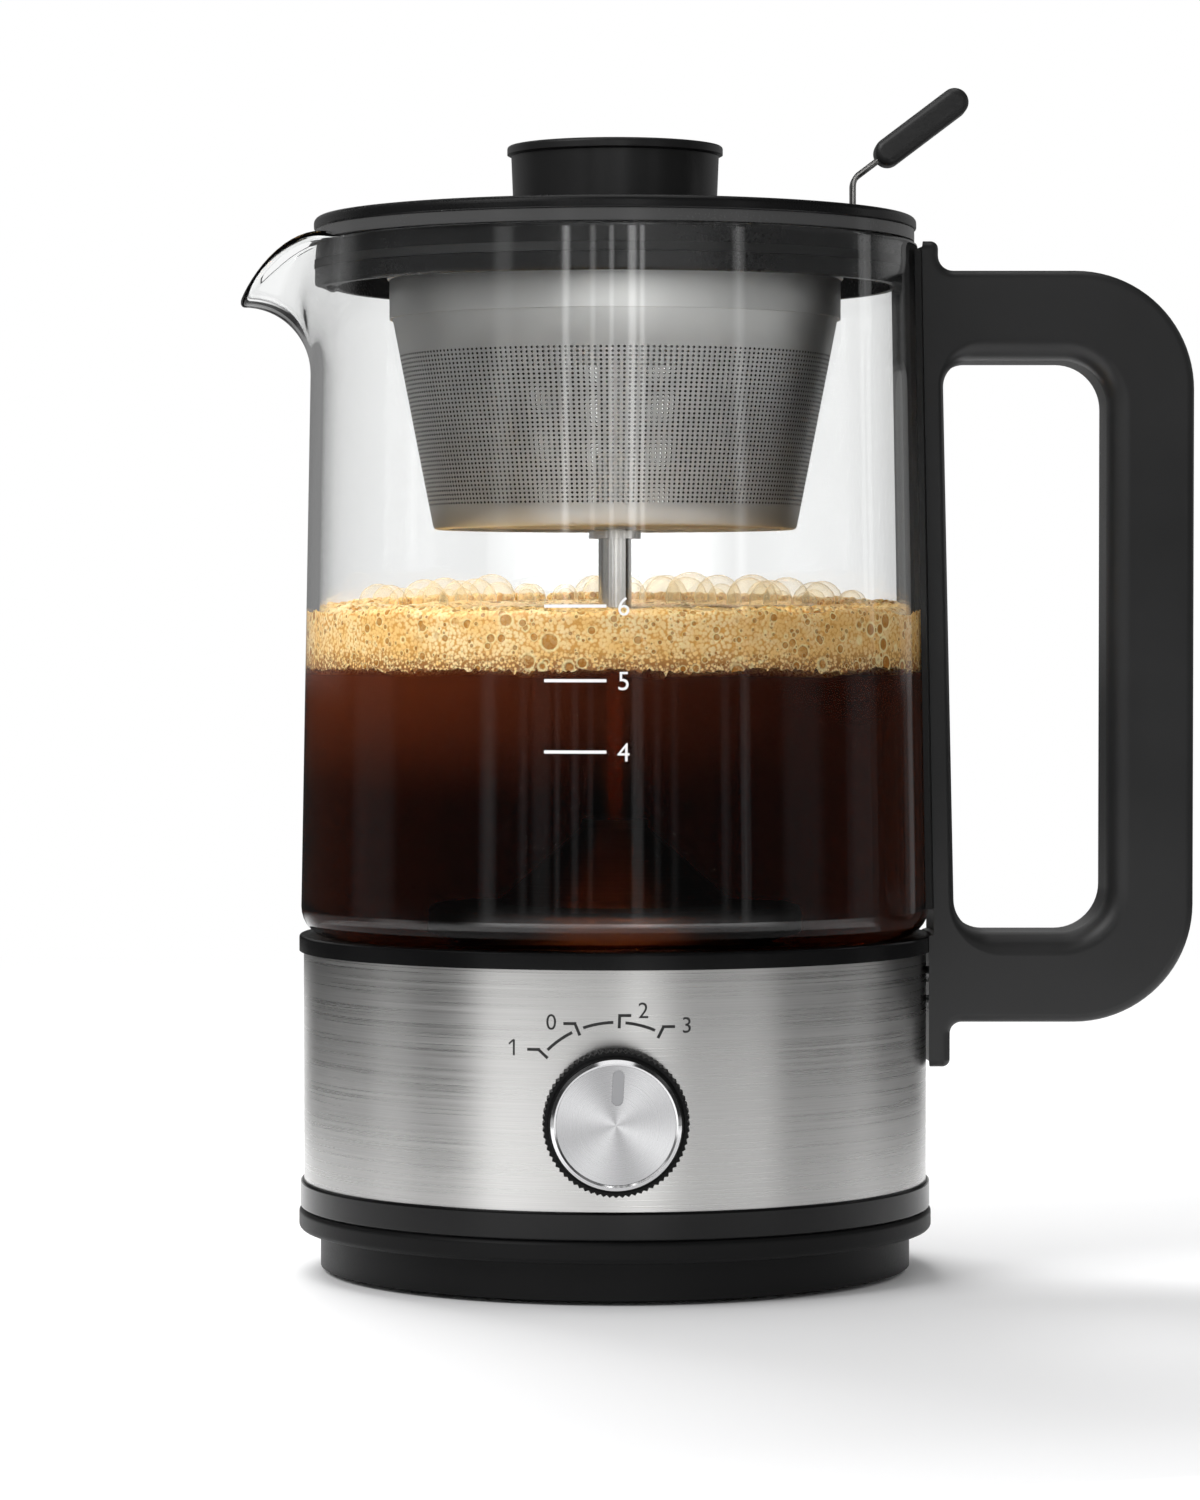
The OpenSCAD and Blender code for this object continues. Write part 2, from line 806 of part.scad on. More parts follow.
module thermal_fuse() {
    color("ivory")
        translate([-element_r, 0, element_z - element_tube_r - fuse_r - slip_gap])
            rotate([90, 0, 0])
                translate([0, 0, -fuse_len / 2])
                    cylinder(r = fuse_r, h = fuse_len);
}

// Switch

module rotary_switch() {
    color("ivory")
        difference() {
            union() {
                translate([-switch_w / 2, -tub_flat_y, dial_z - switch_w / 2])
                    cube([switch_w, switch_depth, switch_w]);
                dial_bar(bush_r, -tub_flat_y + overlap, -band_r - bush_out);
            }
            dial_bar(shaft_r + press_gap, -tub_flat_y + switch_depth / 2, -band_r - bush_out - overlap);
        }
}

module switch_nut() {
    color("gold")
        difference() {
            translate([0, -band_r - slip_gap, dial_z])
                rotate([90, 0, 0])
                    cylinder(r = nut_r, h = nut_h, $fn = 6);
            dial_bar(bush_r + press_gap, 0, -band_r - bush_out - overlap);
        }
}

// Glass

function spout_share(a) = pow(cos(90 * a / spout_angle), 2);
function lip_z(a) = rim_z - spout_drop * pow(spout_share(a), 2.2);
function bow(s) = 1 - sqrt(1 - s * s);

// Point on the glass at angle a from -X, radius r and height z
function spout_point(a, r, z) = [-r * cos(a), r * sin(a), z];

// Section of the spout at angle a: its curved side in t from the outer face, closed at r_back and z_top
function spout_section(a, t, r_back, z_start, z_top) =
    let (
        sink = 0.3,
        steps = 9,
        curve = [for (i = [0:steps])
            let (
                s = sin(90 * i / steps),
                z = z_start + s * (lip_z(a) - z_start),
                r = glass_r(z) - t - sink + (spout_reach + sink) * spout_share(a) * bow(s)
            ) [r, z]],
        tip = curve[steps]
    )
    [for (p = concat([[r_back, z_start]], curve, [[tip[0], z_top(a)], [r_back, z_top(a)]]))
        spout_point(a, p[0], p[1])];

module spout(t, r_back, z_start, z_top) {
    steps = 20;
    loft([for (i = [-steps / 2:steps / 2])
        spout_section(2 * spout_angle * i / steps, t, r_back, z_start, z_top)]);
}

module glass_jug() {
    spout_z = rim_z - spout_depth;
    corner = [glass_foot_r - glass_round, glass_corner_z];
    rim_round = glass_t / 4;
    color("lightblue", 0.4)
        difference() {
            union() {
                rotate_extrude()
                    polygon(concat(
                        [[0, glass_z]],
                        arc(corner, glass_round, -90, 0, 8),
                        [[glass_r(rim_z - rim_round), rim_z - rim_round],
                         [glass_rim_r - rim_round, rim_z],
                         [0, rim_z]]));
                spout(0, glass_rim_r - glass_t / 2, spout_z, function (a) lip_z(a) + 0.01);
            }
            rotate_extrude()
                polygon(concat(
                    [[0, floor_z]],
                    arc(corner, glass_round - glass_t, -90, 0, 8),
                    [[glass_rim_r - glass_t, rim_z],
                     [glass_rim_r - glass_t, rim_z + overlap],
                     [0, rim_z + overlap]]));
            spout(glass_t, glass_rim_r - 4 * glass_t, spout_z + glass_t, function (a) rim_z + 5);
            disc(glass_hole_r, glass_z - overlap, floor_z + overlap);
        }
}

// Handle

// Outline of the handle at depth y, inset by d, with its inner side set on the collar and the pad
function handle_loop(y, d) =
    let (
        gap = slip_gap / 2,
        seat = function (r) sqrt(r * r - y * y),
        collar_x = seat(collar_r + gap),
        foot_x = seat(glass_foot_r + pad_t + 2 * gap),
        rim_x = seat(glass_rim_r + pad_t + 2 * gap),
        lug_z = handle_bottom_z - lug_drop,
        corners = [
            [collar_x, lug_z],
            [low_lug_x, lug_z, lug_round],
            [low_lug_x, handle_bottom_z, low_hollow_round],
            [handle_x, handle_bottom_z, handle_round],
            [handle_x, handle_top_z, handle_round],
            [lug_x, handle_top_z, high_hollow_round],
            [lug_x, lug_top_z, lug_round],
            [rim_x, lug_top_z]],
        at = [for (c = corners) [c[0], c[1]]]
    )
    concat(
        [for (i = [1:len(corners) - 2])
            each corner_points(at[i - 1], at[i], at[i + 1], corners[i][2], d, handle_arc_steps)],
        [[rim_x, lug_top_z - d],
         [foot_x, glass_corner_z],
         [foot_x, collar_top_z + seat_gap],
         [collar_x, collar_top_z],
         [collar_x, lug_z + d]]);

module handle_body() {
    n = handle_arc_steps + 1;
    low_end = 2 * n - 1;
    high_end = 5 * n - 1;
    jug_side = 6 * n;
    fans = [
        concat([jug_side + 3, jug_side + 4], [for (j = [0:low_end]) j]),
        [jug_side + 2, jug_side + 3, low_end],
        concat([jug_side + 1, jug_side + 2], [for (j = [low_end:high_end]) j]),
        concat([jug_side, jug_side + 1], [for (j = [high_end:jug_side - 1]) j])];
    flat = grip_half_depth - edge_round;
    edges = edge_steps(grip_half_depth, edge_round, 1);
    half = len(edges) / 2;
    steps = concat(
        [for (i = [0:half - 1]) edges[i]],
        [for (i = [-3:3]) [flat * i / 4, 0]],
        [for (i = [half:2 * half - 1]) edges[i]]);
    rotate([90, 0, 0])
        loft([for (s = steps) [for (p = handle_loop(s[0], s[1])) [p[0], p[1], s[0]]]], fans);
}

// Outline of the finger gap, inset by d, with less of it on the side of the spine
function finger_loop(d) =
    let (
        shift = (spine_edge - 1) * d,
        gap_x = handle_x - grip_w,
        low_z = handle_bottom_z + arm_bottom_h,
        high_z = handle_top_z - arm_top_h
    )
    outline([
        [glass_foot_r + pad_t + spine_t - 1 + shift, low_z, gap_low_round],
        [gap_x, low_z, gap_round],
        [gap_x, high_z, gap_round],
        [glass_rim_r + pad_t + spine_t - 1 + shift, high_z, gap_high_round]], d);

module finger_gap() {
    end = grip_half_depth + overlap;
    steps = concat(
        [[-end, -gap_edge_round]],
        edge_steps(grip_half_depth, gap_edge_round, -1),
        [[end, -gap_edge_round]]);
    rotate([90, 0, 0])
        loft([for (s = steps) [for (p = finger_loop(s[1])) [p[0], p[1], s[0]]]]);
}

module handle_grip() {
    color([0.08, 0.08, 0.08])
        difference() {
            handle_body();
            finger_gap();
            for (z = handle_screw_z)
                side_bar(handle_screw_r + press_gap, 0, handle_flat_x + handle_screw_len + overlap, z);
        }
}

module handle_pad() {
    half_turn = asin(pad_half_w / glass_rim_r);
    z0 = glass_corner_z;
    z1 = rim_z - 2;
    gap = slip_gap / 2;
    color([0.12, 0.12, 0.12])
        rotate([0, 0, -half_turn])
            rotate_extrude(angle = 2 * half_turn)
                polygon([
                    [glass_r(z0) + gap, z0],
                    [glass_r(z0) + pad_t + gap, z0],
                    [glass_r(z1) + pad_t + gap, z1],
                    [glass_r(z1) + gap, z1]]);
}

module handle_screws() {
    head_h = 1.8;
    color("silver")
        for (z = handle_screw_z) {
            side_bar(handle_head_r, handle_flat_x - head_h, handle_flat_x, z);
            side_bar(handle_screw_r, handle_flat_x - overlap, handle_flat_x + handle_screw_len, z);
        }
}

// Dial, drawn with its axis along local +Z from its back

module on_dial() {
    translate([0, dial_y, dial_z])
        rotate([90, 0, 0])
            children();
}

module switch_shaft() {
    inner_end = -tub_flat_y + switch_depth / 2 - 1;
    color("silver")
        dial_bar(shaft_r, inner_end, dial_y - shaft_end);
}

module dial_knob() {
    rib = 0.45;
    cavity_h = bush_out + 1.2;
    shoulder_r = dial_r - 0.9;
    front_r = bevel_r + 0.1;
    color([0.06, 0.06, 0.06])
        on_dial()
            difference() {
                union() {
                    linear_extrude(dial_skirt_len)
                        polygon([for (i = [0:2 * dial_ribs - 1])
                            let (a = 180 * i / dial_ribs)
                            (dial_r - rib * (i % 2)) * [cos(a), sin(a)]]);
                    rotate_extrude()
                        polygon([
                            [0, dial_skirt_len - overlap],
                            [shoulder_r, dial_skirt_len - overlap],
                            [shoulder_r, dial_skirt_len],
                            [front_r, knob_front],
                            [0, knob_front]]);
                }
                disc(bevel_r, face_floor, dial_len + overlap);
                disc(nut_r + 2, -overlap, cavity_h);
                disc(shaft_r + press_gap, 0, shaft_end + press_gap);
            }
}

module dial_bevel() {
    color("white")
        on_dial()
            rotate_extrude()
                polygon([
                    [face_r + press_gap, face_floor],
                    [bevel_r - press_gap, face_floor],
                    [bevel_r - press_gap, bevel_edge],
                    [face_r + 0.4, dial_len],
                    [face_r + press_gap, dial_len - 0.2]]);
}

// Outline of the pointer's slot in the dial's face
module pointer_shape(gap) {
    inner_end = face_r * 0.33;
    outer_end = face_r * 0.92;
    rotate(90 - pointer_angle)
        translate([(inner_end + outer_end) / 2, 0])
            flat_hole(outer_end - inner_end - 2 * gap, pointer_w - 2 * gap);
}

module dial_face() {
    color("silver")
        on_dial()
            difference() {
                disc(face_r, face_floor, face_front);
                translate([0, 0, pointer_floor])
                    linear_extrude(face_front - pointer_floor + overlap)
                        pointer_shape(0);
            }
}

module dial_pointer() {
    color("gray")
        on_dial()
            translate([0, 0, pointer_floor])
                linear_extrude(face_front - pointer_floor)
                    pointer_shape(press_gap);
}

// Lid

// Room for the lever's wire through the lid
module lever_slot() {
    swing = (lid_face_z - pivot_z) * tan(lever_turn);
    translate([lever_x - wire_r - seat_gap, -slot_w / 2, pivot_z - 2])
        cube([swing + 4 * wire_r + 2 * seat_gap, slot_w, lid_face_z - pivot_z + 4]);
}

module lid_top() {
    edge = 1.2;
    color([0.05, 0.05, 0.05])
        difference() {
            rotate_extrude()
                polygon(concat(
                    [[0, lid_top_z]],
                    arc([lid_r - 0.5, lid_top_z + 0.5], 0.5, -90, 0, 4),
                    arc([lid_r - edge, lid_face_z - edge], edge, 0, 90),
                    [[0, lid_face_z]]));
            disc(knob_screw_r + slip_gap, lid_top_z - overlap, lid_face_z + overlap);
            lever_slot();
        }
}

module lid_body() {
    rim_r = lid_r - 0.4;
    color([0.15, 0.15, 0.15])
        difference() {
            union() {
                rotate_extrude()
                    polygon([
                        [0, rim_z + slip_gap],
                        [skirt_in_r, rim_z + slip_gap],
                        [skirt_in_r, skirt_z],
                        [skirt_r - 0.4, skirt_z],
                        [skirt_r, skirt_z + 0.4],
                        [skirt_r, lid_seal_z],
                        [skirt_r - seal_groove, lid_seal_z],
                        [skirt_r - seal_groove, lid_seal_z + lid_seal_h],
                        [skirt_r, lid_seal_z + lid_seal_h],
                        [skirt_r, rim_z + slip_gap],
                        [rim_r, rim_z + slip_gap],
                        [rim_r, lid_top_z],
                        [0, lid_top_z]]);
                for (y = [-ear_y - ear_t, ear_y])
                    translate([lever_x - ear_half_w, y, pivot_z - ear_drop])
                        cube([2 * ear_half_w, ear_t, rim_z - pivot_z + ear_drop + overlap]);
            }
            disc(knob_screw_r + slip_gap, rim_z - overlap, lid_top_z + overlap);
            lever_slot();
            translate([lever_x, ear_y + ear_t + overlap, pivot_z])
                rotate([90, 0, 0])
                    cylinder(r = wire_r + press_gap, h = 2 * (ear_y + ear_t + overlap));
        }
}

module lid_seal() {
    color("dimgray")
        ring(skirt_r - seal_groove, skirt_r + slip_gap,
             lid_seal_z + press_gap, lid_seal_z + lid_seal_h - press_gap);
}

module lid_knob() {
    wall = 1.8;
    boss_r = 5;
    roof = 2.6;
    top_z = lid_face_z + knob_h;
    neck_top_r = knob_foot_r + 0.5;
    color([0.05, 0.05, 0.05])
        difference() {
            rotate_extrude()
                polygon(concat(
                    [[0, lid_face_z],
                     [boss_r, lid_face_z],
                     [boss_r, top_z - roof],
                     [knob_foot_r - wall, top_z - roof],
                     [knob_foot_r - wall, lid_face_z],
                     [knob_foot_r, lid_face_z],
                     [neck_top_r, top_z - knob_lip_h - 0.4],
                     [knob_lip_r, top_z - knob_lip_h]],
                    arc([knob_lip_r - 0.6, top_z - 0.6], 0.6, 0, 90, 4),
                    [[knob_lip_r - 2, top_z],
                     [knob_lip_r - 5, top_z - 0.6],
                     [0, top_z - 0.6]]));
            disc(knob_screw_r + press_gap, lid_face_z - overlap, top_z - roof);
        }
}

module knob_screw() {
    head_r = 4;
    head_h = 2.2;
    color("silver") {
        disc(head_r, rim_z + slip_gap - head_h, rim_z + slip_gap);
        disc(knob_screw_r, rim_z, lid_face_z + knob_h - 5);
    }
}

// Lever

// Bend of the wire from local +Y towards +X, starting at the origin
module wire_bend(bend_r, turn) {
    translate([bend_r, 0, 0])
        rotate([0, 0, 180 - turn])
            rotate_extrude(angle = turn)
                translate([bend_r, 0])
                    circle(r = wire_r + wire_step);
}

// Straight run of the wire along local +Z, with its ends let into the bends
module wire_run(z0, z1) {
    disc(wire_r, z0 - press_gap, z1 + press_gap);
}

module lever_leg() {
    turn = 90 - lever_slope;
    trim = lever_bend_r * tan(turn / 2);
    pin_end = ear_y + ear_t - slip_gap;
    translate([lever_x, leg_gap / 2, pivot_z]) {
        wire_run(pin_bend_r, lever_rise - trim);
        translate([0, 0, pin_bend_r])
            rotate([-90, 0, 90])
                wire_bend(pin_bend_r, 90);
        rotate([-90, 0, 0])
            wire_run(pin_bend_r, pin_end - leg_gap / 2);
        translate([0, 0, lever_rise - trim])
            rotate([90, 0, 0])
                wire_bend(lever_bend_r, turn);
        translate([0, 0, lever_rise])
            rotate([0, turn, 0])
                wire_run(trim, lever_reach + wire_embed);
    }
}

module lever_wire() {
    color("silver") {
        lever_leg();
        mirror([0, 1, 0])
            lever_leg();
    }
}

module lever_grip() {
    corner_z = pivot_z + lever_rise;
    round_end = pad_h / 2 - 0.01;
    hole_len = wire_embed + seat_gap;
    color([0.06, 0.06, 0.06])
        translate([lever_x, 0, corner_z])
            rotate([0, -lever_slope, 0])
                translate([lever_reach, 0, 0])
                    difference() {
                        slab([
                            [0, -pad_h / 2, round_end],
                            [pad_len, -pad_h / 2, round_end],
                            [pad_len, pad_h / 2, round_end],
                            [0, pad_h / 2, round_end]
                        ], edge_steps(pad_w / 2, 1.6, 1));
                        for (s = [-1, 1])
                            translate([-overlap, s * leg_gap / 2, 0])
                                rotate([0, 90, 0])
                                    cylinder(r = wire_r + press_gap, h = hole_len + overlap);
                    }
}

// Perk tube

module perk_tube() {
    color("silver")
        ring(tube_r - tube_t, tube_r, tube_z, tube_top_z);
}

module stop_ring() {
    color("silver")
        ring(tube_r + press_gap, tube_r + 1.9, stop_top_z - stop_h, stop_top_z);
}

module tube_foot() {
    hub_r = tube_r + 1.6;
    hub_h = 1.6;
    waist_r = bell_r * 0.6;
    waist_z = bell_z + bell_h * 0.55;
    rim_h = 1.2;
    rib_t = 1;
    rib_z = valve_z + valve_t + valve_lift + slip_gap;
    color("silver")
        union() {
            rotate_extrude()
                polygon([
                    [bell_r - 2 * bell_t, bell_z],
                    [bell_r, bell_z],
                    [bell_r, bell_z + rim_h],
                    [bell_r - bell_t, bell_z + rim_h + bell_t],
                    [waist_r, waist_z],
                    [hub_r, bell_top_z - hub_h],
                    [hub_r, bell_top_z],
                    [tube_r + press_gap, bell_top_z],
                    [tube_r + press_gap, waist_z + bell_t],
                    [waist_r - 1.6 * bell_t, waist_z - bell_t],
                    [bell_r - 2 * bell_t, bell_z + rim_h + bell_t]]);
            around(3, 0)
                translate([tube_r + seat_gap, -rib_t / 2, rib_z])
                    cube([waist_r - bell_t - tube_r - seat_gap, rib_t, waist_z - rib_z]);
        }
}

module valve_seat() {
    hole_r = 3.4;
    color("gray")
        ring(hole_r, bell_r - 2 * bell_t - slip_gap, valve_seat_z, valve_seat_z + valve_seat_t);
}

module valve_disc() {
    color("silver")
        disc(valve_r, valve_z, valve_z + valve_t);
}

// Basket

module basket_collar() {
    top_z = basket_collar_z + basket_collar_h;
    bead = 0.5;
    color("silver")
        rotate_extrude()
            polygon([
                [basket_r - sheet_t, basket_collar_z],
                [basket_r, basket_collar_z],
                [basket_r, top_z - 1],
                [basket_r + bead, top_z - 0.7],
                [basket_r + bead, top_z],
                [basket_r - sheet_t, top_z]]);
}

module basket_cup() {
    color("silver")
        rotate_extrude()
            polygon([
                [basket_floor_r - basket_ledge, basket_floor_z],
                [basket_floor_r, basket_floor_z],
                [cup_r, basket_collar_z],
                [cup_r, cup_lip_z],
                [cup_r - sheet_t, cup_lip_z],
                [cup_r - sheet_t, basket_collar_z],
                [basket_floor_r - sheet_t, basket_floor_z + sheet_t],
                [basket_floor_r - basket_ledge, basket_floor_z + sheet_t]]);
}

module basket_floor() {
    floor_r = basket_floor_r - sheet_t - slip_gap;
    color("silver")
        difference() {
            disc(floor_r, basket_plate_z, basket_plate_z + sheet_t);
            disc(sleeve_r + press_gap, basket_plate_z - overlap, basket_plate_z + sheet_t + overlap);
            hole_rings(floor_hole_r, 11, floor_r - basket_ledge - 1, 5,
                       basket_plate_z - overlap, basket_plate_z + sheet_t + overlap);
        }
}

module basket_sleeve() {
    flange = 3.5;
    flange_z = basket_plate_z + sheet_t;
    color("silver")
        rotate_extrude()
            polygon([
                [sleeve_in_r, basket_floor_z],
                [sleeve_r, basket_floor_z],
                [sleeve_r, flange_z],
                [sleeve_r + flange, flange_z],
                [sleeve_r + flange, flange_z + sheet_t],
                [sleeve_r, flange_z + sheet_t],
                [sleeve_r, flange_z + sleeve_h],
                [sleeve_in_r, flange_z + sleeve_h]]);
}

module spreader() {
    plate_r = basket_r - sheet_t - seat_gap;
    hub_in_r = tube_r + seat_gap;
    hub_h = 1.6;
    color("silver")
        difference() {
            rotate_extrude()
                polygon([
                    [hub_in_r, spreader_z],
                    [plate_r, spreader_z],
                    [plate_r, spreader_z + sheet_t],
                    [hub_in_r + sheet_t, spreader_z + sheet_t],
                    [hub_in_r + sheet_t, spreader_z + hub_h],
                    [hub_in_r, spreader_z + hub_h]]);
            hole_rings(spreader_hole_r, 9, plate_r - 4, 7,
                       spreader_z - overlap, spreader_z + sheet_t + overlap);
        }
}

foot_ring();
base_shell();
base_plate();
base_screws();
base_connector();
base_contacts();
cord_gland();
jug_socket();
socket_contacts();
bottom_cover();
cover_screws();
trim_ring();
base_tub();
steel_band();
collar_ring();
heater_plate();
plate_seal();
clamp_nut();
heater_element();
thermostat();
thermal_fuse();
rotary_switch();
switch_nut();
glass_jug();
handle_grip();
handle_pad();
handle_screws();
switch_shaft();
dial_knob();
dial_bevel();
dial_face();
dial_pointer();
lid_top();
lid_body();
lid_seal();
lid_knob();
knob_screw();
lever_wire();
lever_grip();
perk_tube();
stop_ring();
tube_foot();
valve_seat();
valve_disc();
basket_collar();
basket_cup();
basket_floor();
basket_sleeve();
spreader();
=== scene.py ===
"""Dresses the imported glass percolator: jug, handle, steel band, lid, brew set and its brew."""

import json
import logging
import math
from collections.abc import Iterable, Sequence
from dataclasses import dataclass
from enum import Enum

import bmesh
import bpy
import numpy as np
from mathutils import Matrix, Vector

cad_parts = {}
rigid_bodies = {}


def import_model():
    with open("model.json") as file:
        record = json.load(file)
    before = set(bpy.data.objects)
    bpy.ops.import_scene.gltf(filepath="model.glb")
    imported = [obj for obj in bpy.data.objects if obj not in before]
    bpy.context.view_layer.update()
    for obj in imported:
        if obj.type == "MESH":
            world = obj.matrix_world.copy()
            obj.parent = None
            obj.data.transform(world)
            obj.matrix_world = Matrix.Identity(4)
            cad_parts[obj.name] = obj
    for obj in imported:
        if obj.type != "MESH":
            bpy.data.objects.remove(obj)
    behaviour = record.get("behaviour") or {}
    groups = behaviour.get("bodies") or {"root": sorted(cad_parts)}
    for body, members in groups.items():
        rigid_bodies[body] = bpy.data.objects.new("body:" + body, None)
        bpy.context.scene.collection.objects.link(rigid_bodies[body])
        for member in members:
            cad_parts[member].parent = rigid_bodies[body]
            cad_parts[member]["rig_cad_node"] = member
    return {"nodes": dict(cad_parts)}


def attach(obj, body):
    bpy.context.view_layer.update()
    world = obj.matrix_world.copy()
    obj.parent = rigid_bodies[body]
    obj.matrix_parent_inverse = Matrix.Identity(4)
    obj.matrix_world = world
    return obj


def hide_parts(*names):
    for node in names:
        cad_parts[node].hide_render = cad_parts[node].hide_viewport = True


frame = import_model()

MM = 0.001
QUARTER = math.pi / 2
MERGE = 1e-7
LOG = logging.getLogger("percolator")

Colour = tuple[float, float, float]
Flat = tuple[float, float]
Corner = tuple[float, float, float]
Wave = tuple[float, int, int, int]
Socket = bpy.types.NodeSocket
Outputs = bpy.types.bpy_prop_collection
Piece = bpy.types.Object

WHITE: Colour = (1, 1, 1)


class Slot(Enum):
    """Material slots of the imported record."""

    BLACK_PLASTIC = "black_plastic"
    GLOSS_BLACK = "gloss_black"
    LID_PLASTIC = "lid_plastic"
    HOUSING_PLASTIC = "housing_plastic"
    BLACK_RUBBER = "black_rubber"
    SILICONE = "silicone"
    BAND_STEEL = "band_steel"
    SHEET_STEEL = "sheet_steel"
    BRIGHT_STEEL = "bright_steel"
    SCREW_STEEL = "screw_steel"
    SPUN_ALUMINIUM = "spun_aluminium"
    POINTER_GREY = "pointer_grey"
    CONTACT_BRASS = "contact_brass"
    CERAMIC = "ceramic"
    GLASS = "glass"


class Body(Enum):
    """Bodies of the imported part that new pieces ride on."""

    JUG = "jug"
    BASKET = "basket"
    LEVER = "lever"


# Node trees


class Graph:
    """Adds nodes to one tree, with their inputs set or linked by name."""

    def __init__(self, tree: bpy.types.NodeTree) -> None:
        """Keeps the tree that the nodes go into."""
        self.tree = tree

    def add(self, kind: str, values: dict | None = None, **settings: object) -> bpy.types.Node:
        """Adds one node.

        Args:
            kind: The node's type name.
            values: Values or sockets for its inputs, by name or index.
            settings: Properties of the node itself.

        Returns:
            The new node.
        """
        node = self.tree.nodes.new(kind)
        for key, value in settings.items():
            setattr(node, key, value)
        for key, value in (values or {}).items():
            self.feed(node.inputs[key], value)
        return node

    def feed(self, socket: Socket, value: object) -> None:
        """Links a socket to another, or sets its value.

        Args:
            socket: The input.
            value: What it gets, an output or a plain value.
        """
        if isinstance(value, Socket):
            self.tree.links.new(value, socket)
        else:
            socket.default_value = value

    def math(self, operation: str, *values: object) -> Socket:
        """Output of a Math node with these values or sockets."""
        return self.add("ShaderNodeMath", dict(enumerate(values)), operation=operation).outputs[0]

    def vector(self, operation: str, *values: object) -> Outputs:
        """Outputs of a Vector Math node with these values or sockets."""
        return self.add("ShaderNodeVectorMath", dict(enumerate(values)), operation=operation).outputs

    def length(self, at: Socket) -> Socket:
        """Length of a vector."""
        return self.vector("LENGTH", at)["Value"]

    def split(self, at: Socket) -> Outputs:
        """X, Y and Z of a vector, by name."""
        return self.add("ShaderNodeSeparateXYZ", {0: at}).outputs

    def place(self, scale: Sequence[float] = (1, 1, 1), shift: Sequence[float] = (0, 0, 0)) -> Socket:
        """Object coordinates, shifted and then stretched.

        Args:
            scale: The stretch along X, Y and Z.
            shift: The point that becomes the middle.

        Returns:
            The coordinates.
        """
        at = self.add("ShaderNodeTexCoord").outputs["Object"]
        moved = self.vector("ADD", at, tuple(-s for s in shift))[0]
        return self.vector("MULTIPLY", moved, tuple(scale))[0]

    def noise(self, scale: float, detail: float = 2, at: Socket | None = None) -> Socket:
        """Grey noise with so many features to the metre."""
        values = {"Vector": at or self.place(), "Scale": scale, "Detail": detail}
        return self.add("ShaderNodeTexNoise", values).outputs[0]

    def spread(self, value: object, low: float, high: float, start: float = 0, end: float = 1) -> Socket:
        """Maps a value from start..end to low..high."""
        return self.add("ShaderNodeMapRange", {
            "Value": value, "From Min": start, "From Max": end, "To Min": low, "To Max": high}).outputs[0]

    def step(self, value: object, start: float, end: float) -> Socket:
        """Smooth step from 0 to 1 between start and end."""
        return self.add("ShaderNodeMapRange", {"Value": value, "From Min": start, "From Max": end},
                        interpolation_type="SMOOTHSTEP").outputs[0]

    def tint(self, share: object, low: Colour | Socket, high: Colour | Socket) -> Socket:
        """Colour between two others.

        Args:
            share: How much of the second there is, from 0 to 1.
            low: The first colour, or its socket.
            high: The second colour, or its socket.

        Returns:
            The mixed colour.
        """
        node = self.add("ShaderNodeMix", {0: share}, data_type="RGBA")
        # The node's colour sockets are its inputs 6 and 7 and its output 2.
        for index, colour in ((6, low), (7, high)):
            self.feed(node.inputs[index], colour if isinstance(colour, Socket) else opaque(colour))
        return node.outputs[2]

    def bump(self, height: object, strength: float, depth: float) -> Socket:
        """Normal of a surface with this height map, depth in metres."""
        values = {"Height": height, "Strength": strength, "Distance": depth}
        return self.add("ShaderNodeBump", values).outputs[0]

    def surface(self, values: dict[str, object]) -> Socket:
        """Output of a Principled shader with these inputs."""
        return self.add("ShaderNodeBsdfPrincipled", values).outputs[0]

    def stretched(self, amount: float, axis: str) -> dict[str, object]:
        """Inputs of a Principled shader whose highlights are drawn out across the rings about an axis."""
        tangent = self.add("ShaderNodeTangent", direction_type="RADIAL", axis=axis).outputs[0]
        return {"Anisotropic": amount, "Anisotropic Rotation": 0.25, "Tangent": tangent}

    def coat(self, kind: str, colour: Colour | Socket, **values: object) -> Socket:
        """Output of a plain shader of one colour.

        Args:
            kind: The node's type name.
            colour: The colour, or its socket.
            values: Its other inputs, by name.

        Returns:
            The shader's output.
        """
        paint = colour if isinstance(colour, Socket) else opaque(colour)
        return self.add(kind, {"Color": paint, **values}).outputs[0]

    def blend(self, share: object, first: Socket, second: Socket) -> Socket:
        """Shader between two others."""
        return self.add("ShaderNodeMixShader", {0: share, 1: first, 2: second}).outputs[0]


def blank(owner: bpy.types.Material | bpy.types.World) -> Graph:
    """Clears the nodes of a material or world.

    Args:
        owner: The material or world.

    Returns:
        Its empty tree.
    """
    owner.use_nodes = True
    owner.node_tree.nodes.clear()
    return Graph(owner.node_tree)


# Finishes


def scaled(colour: Colour, share: float) -> Colour:
    """The colour made lighter or darker by share."""
    return tuple(min(1.0, c * share) for c in colour)


def opaque(colour: Colour) -> tuple[float, float, float, float]:
    """The colour as a socket takes it."""
    return (*colour, 1)


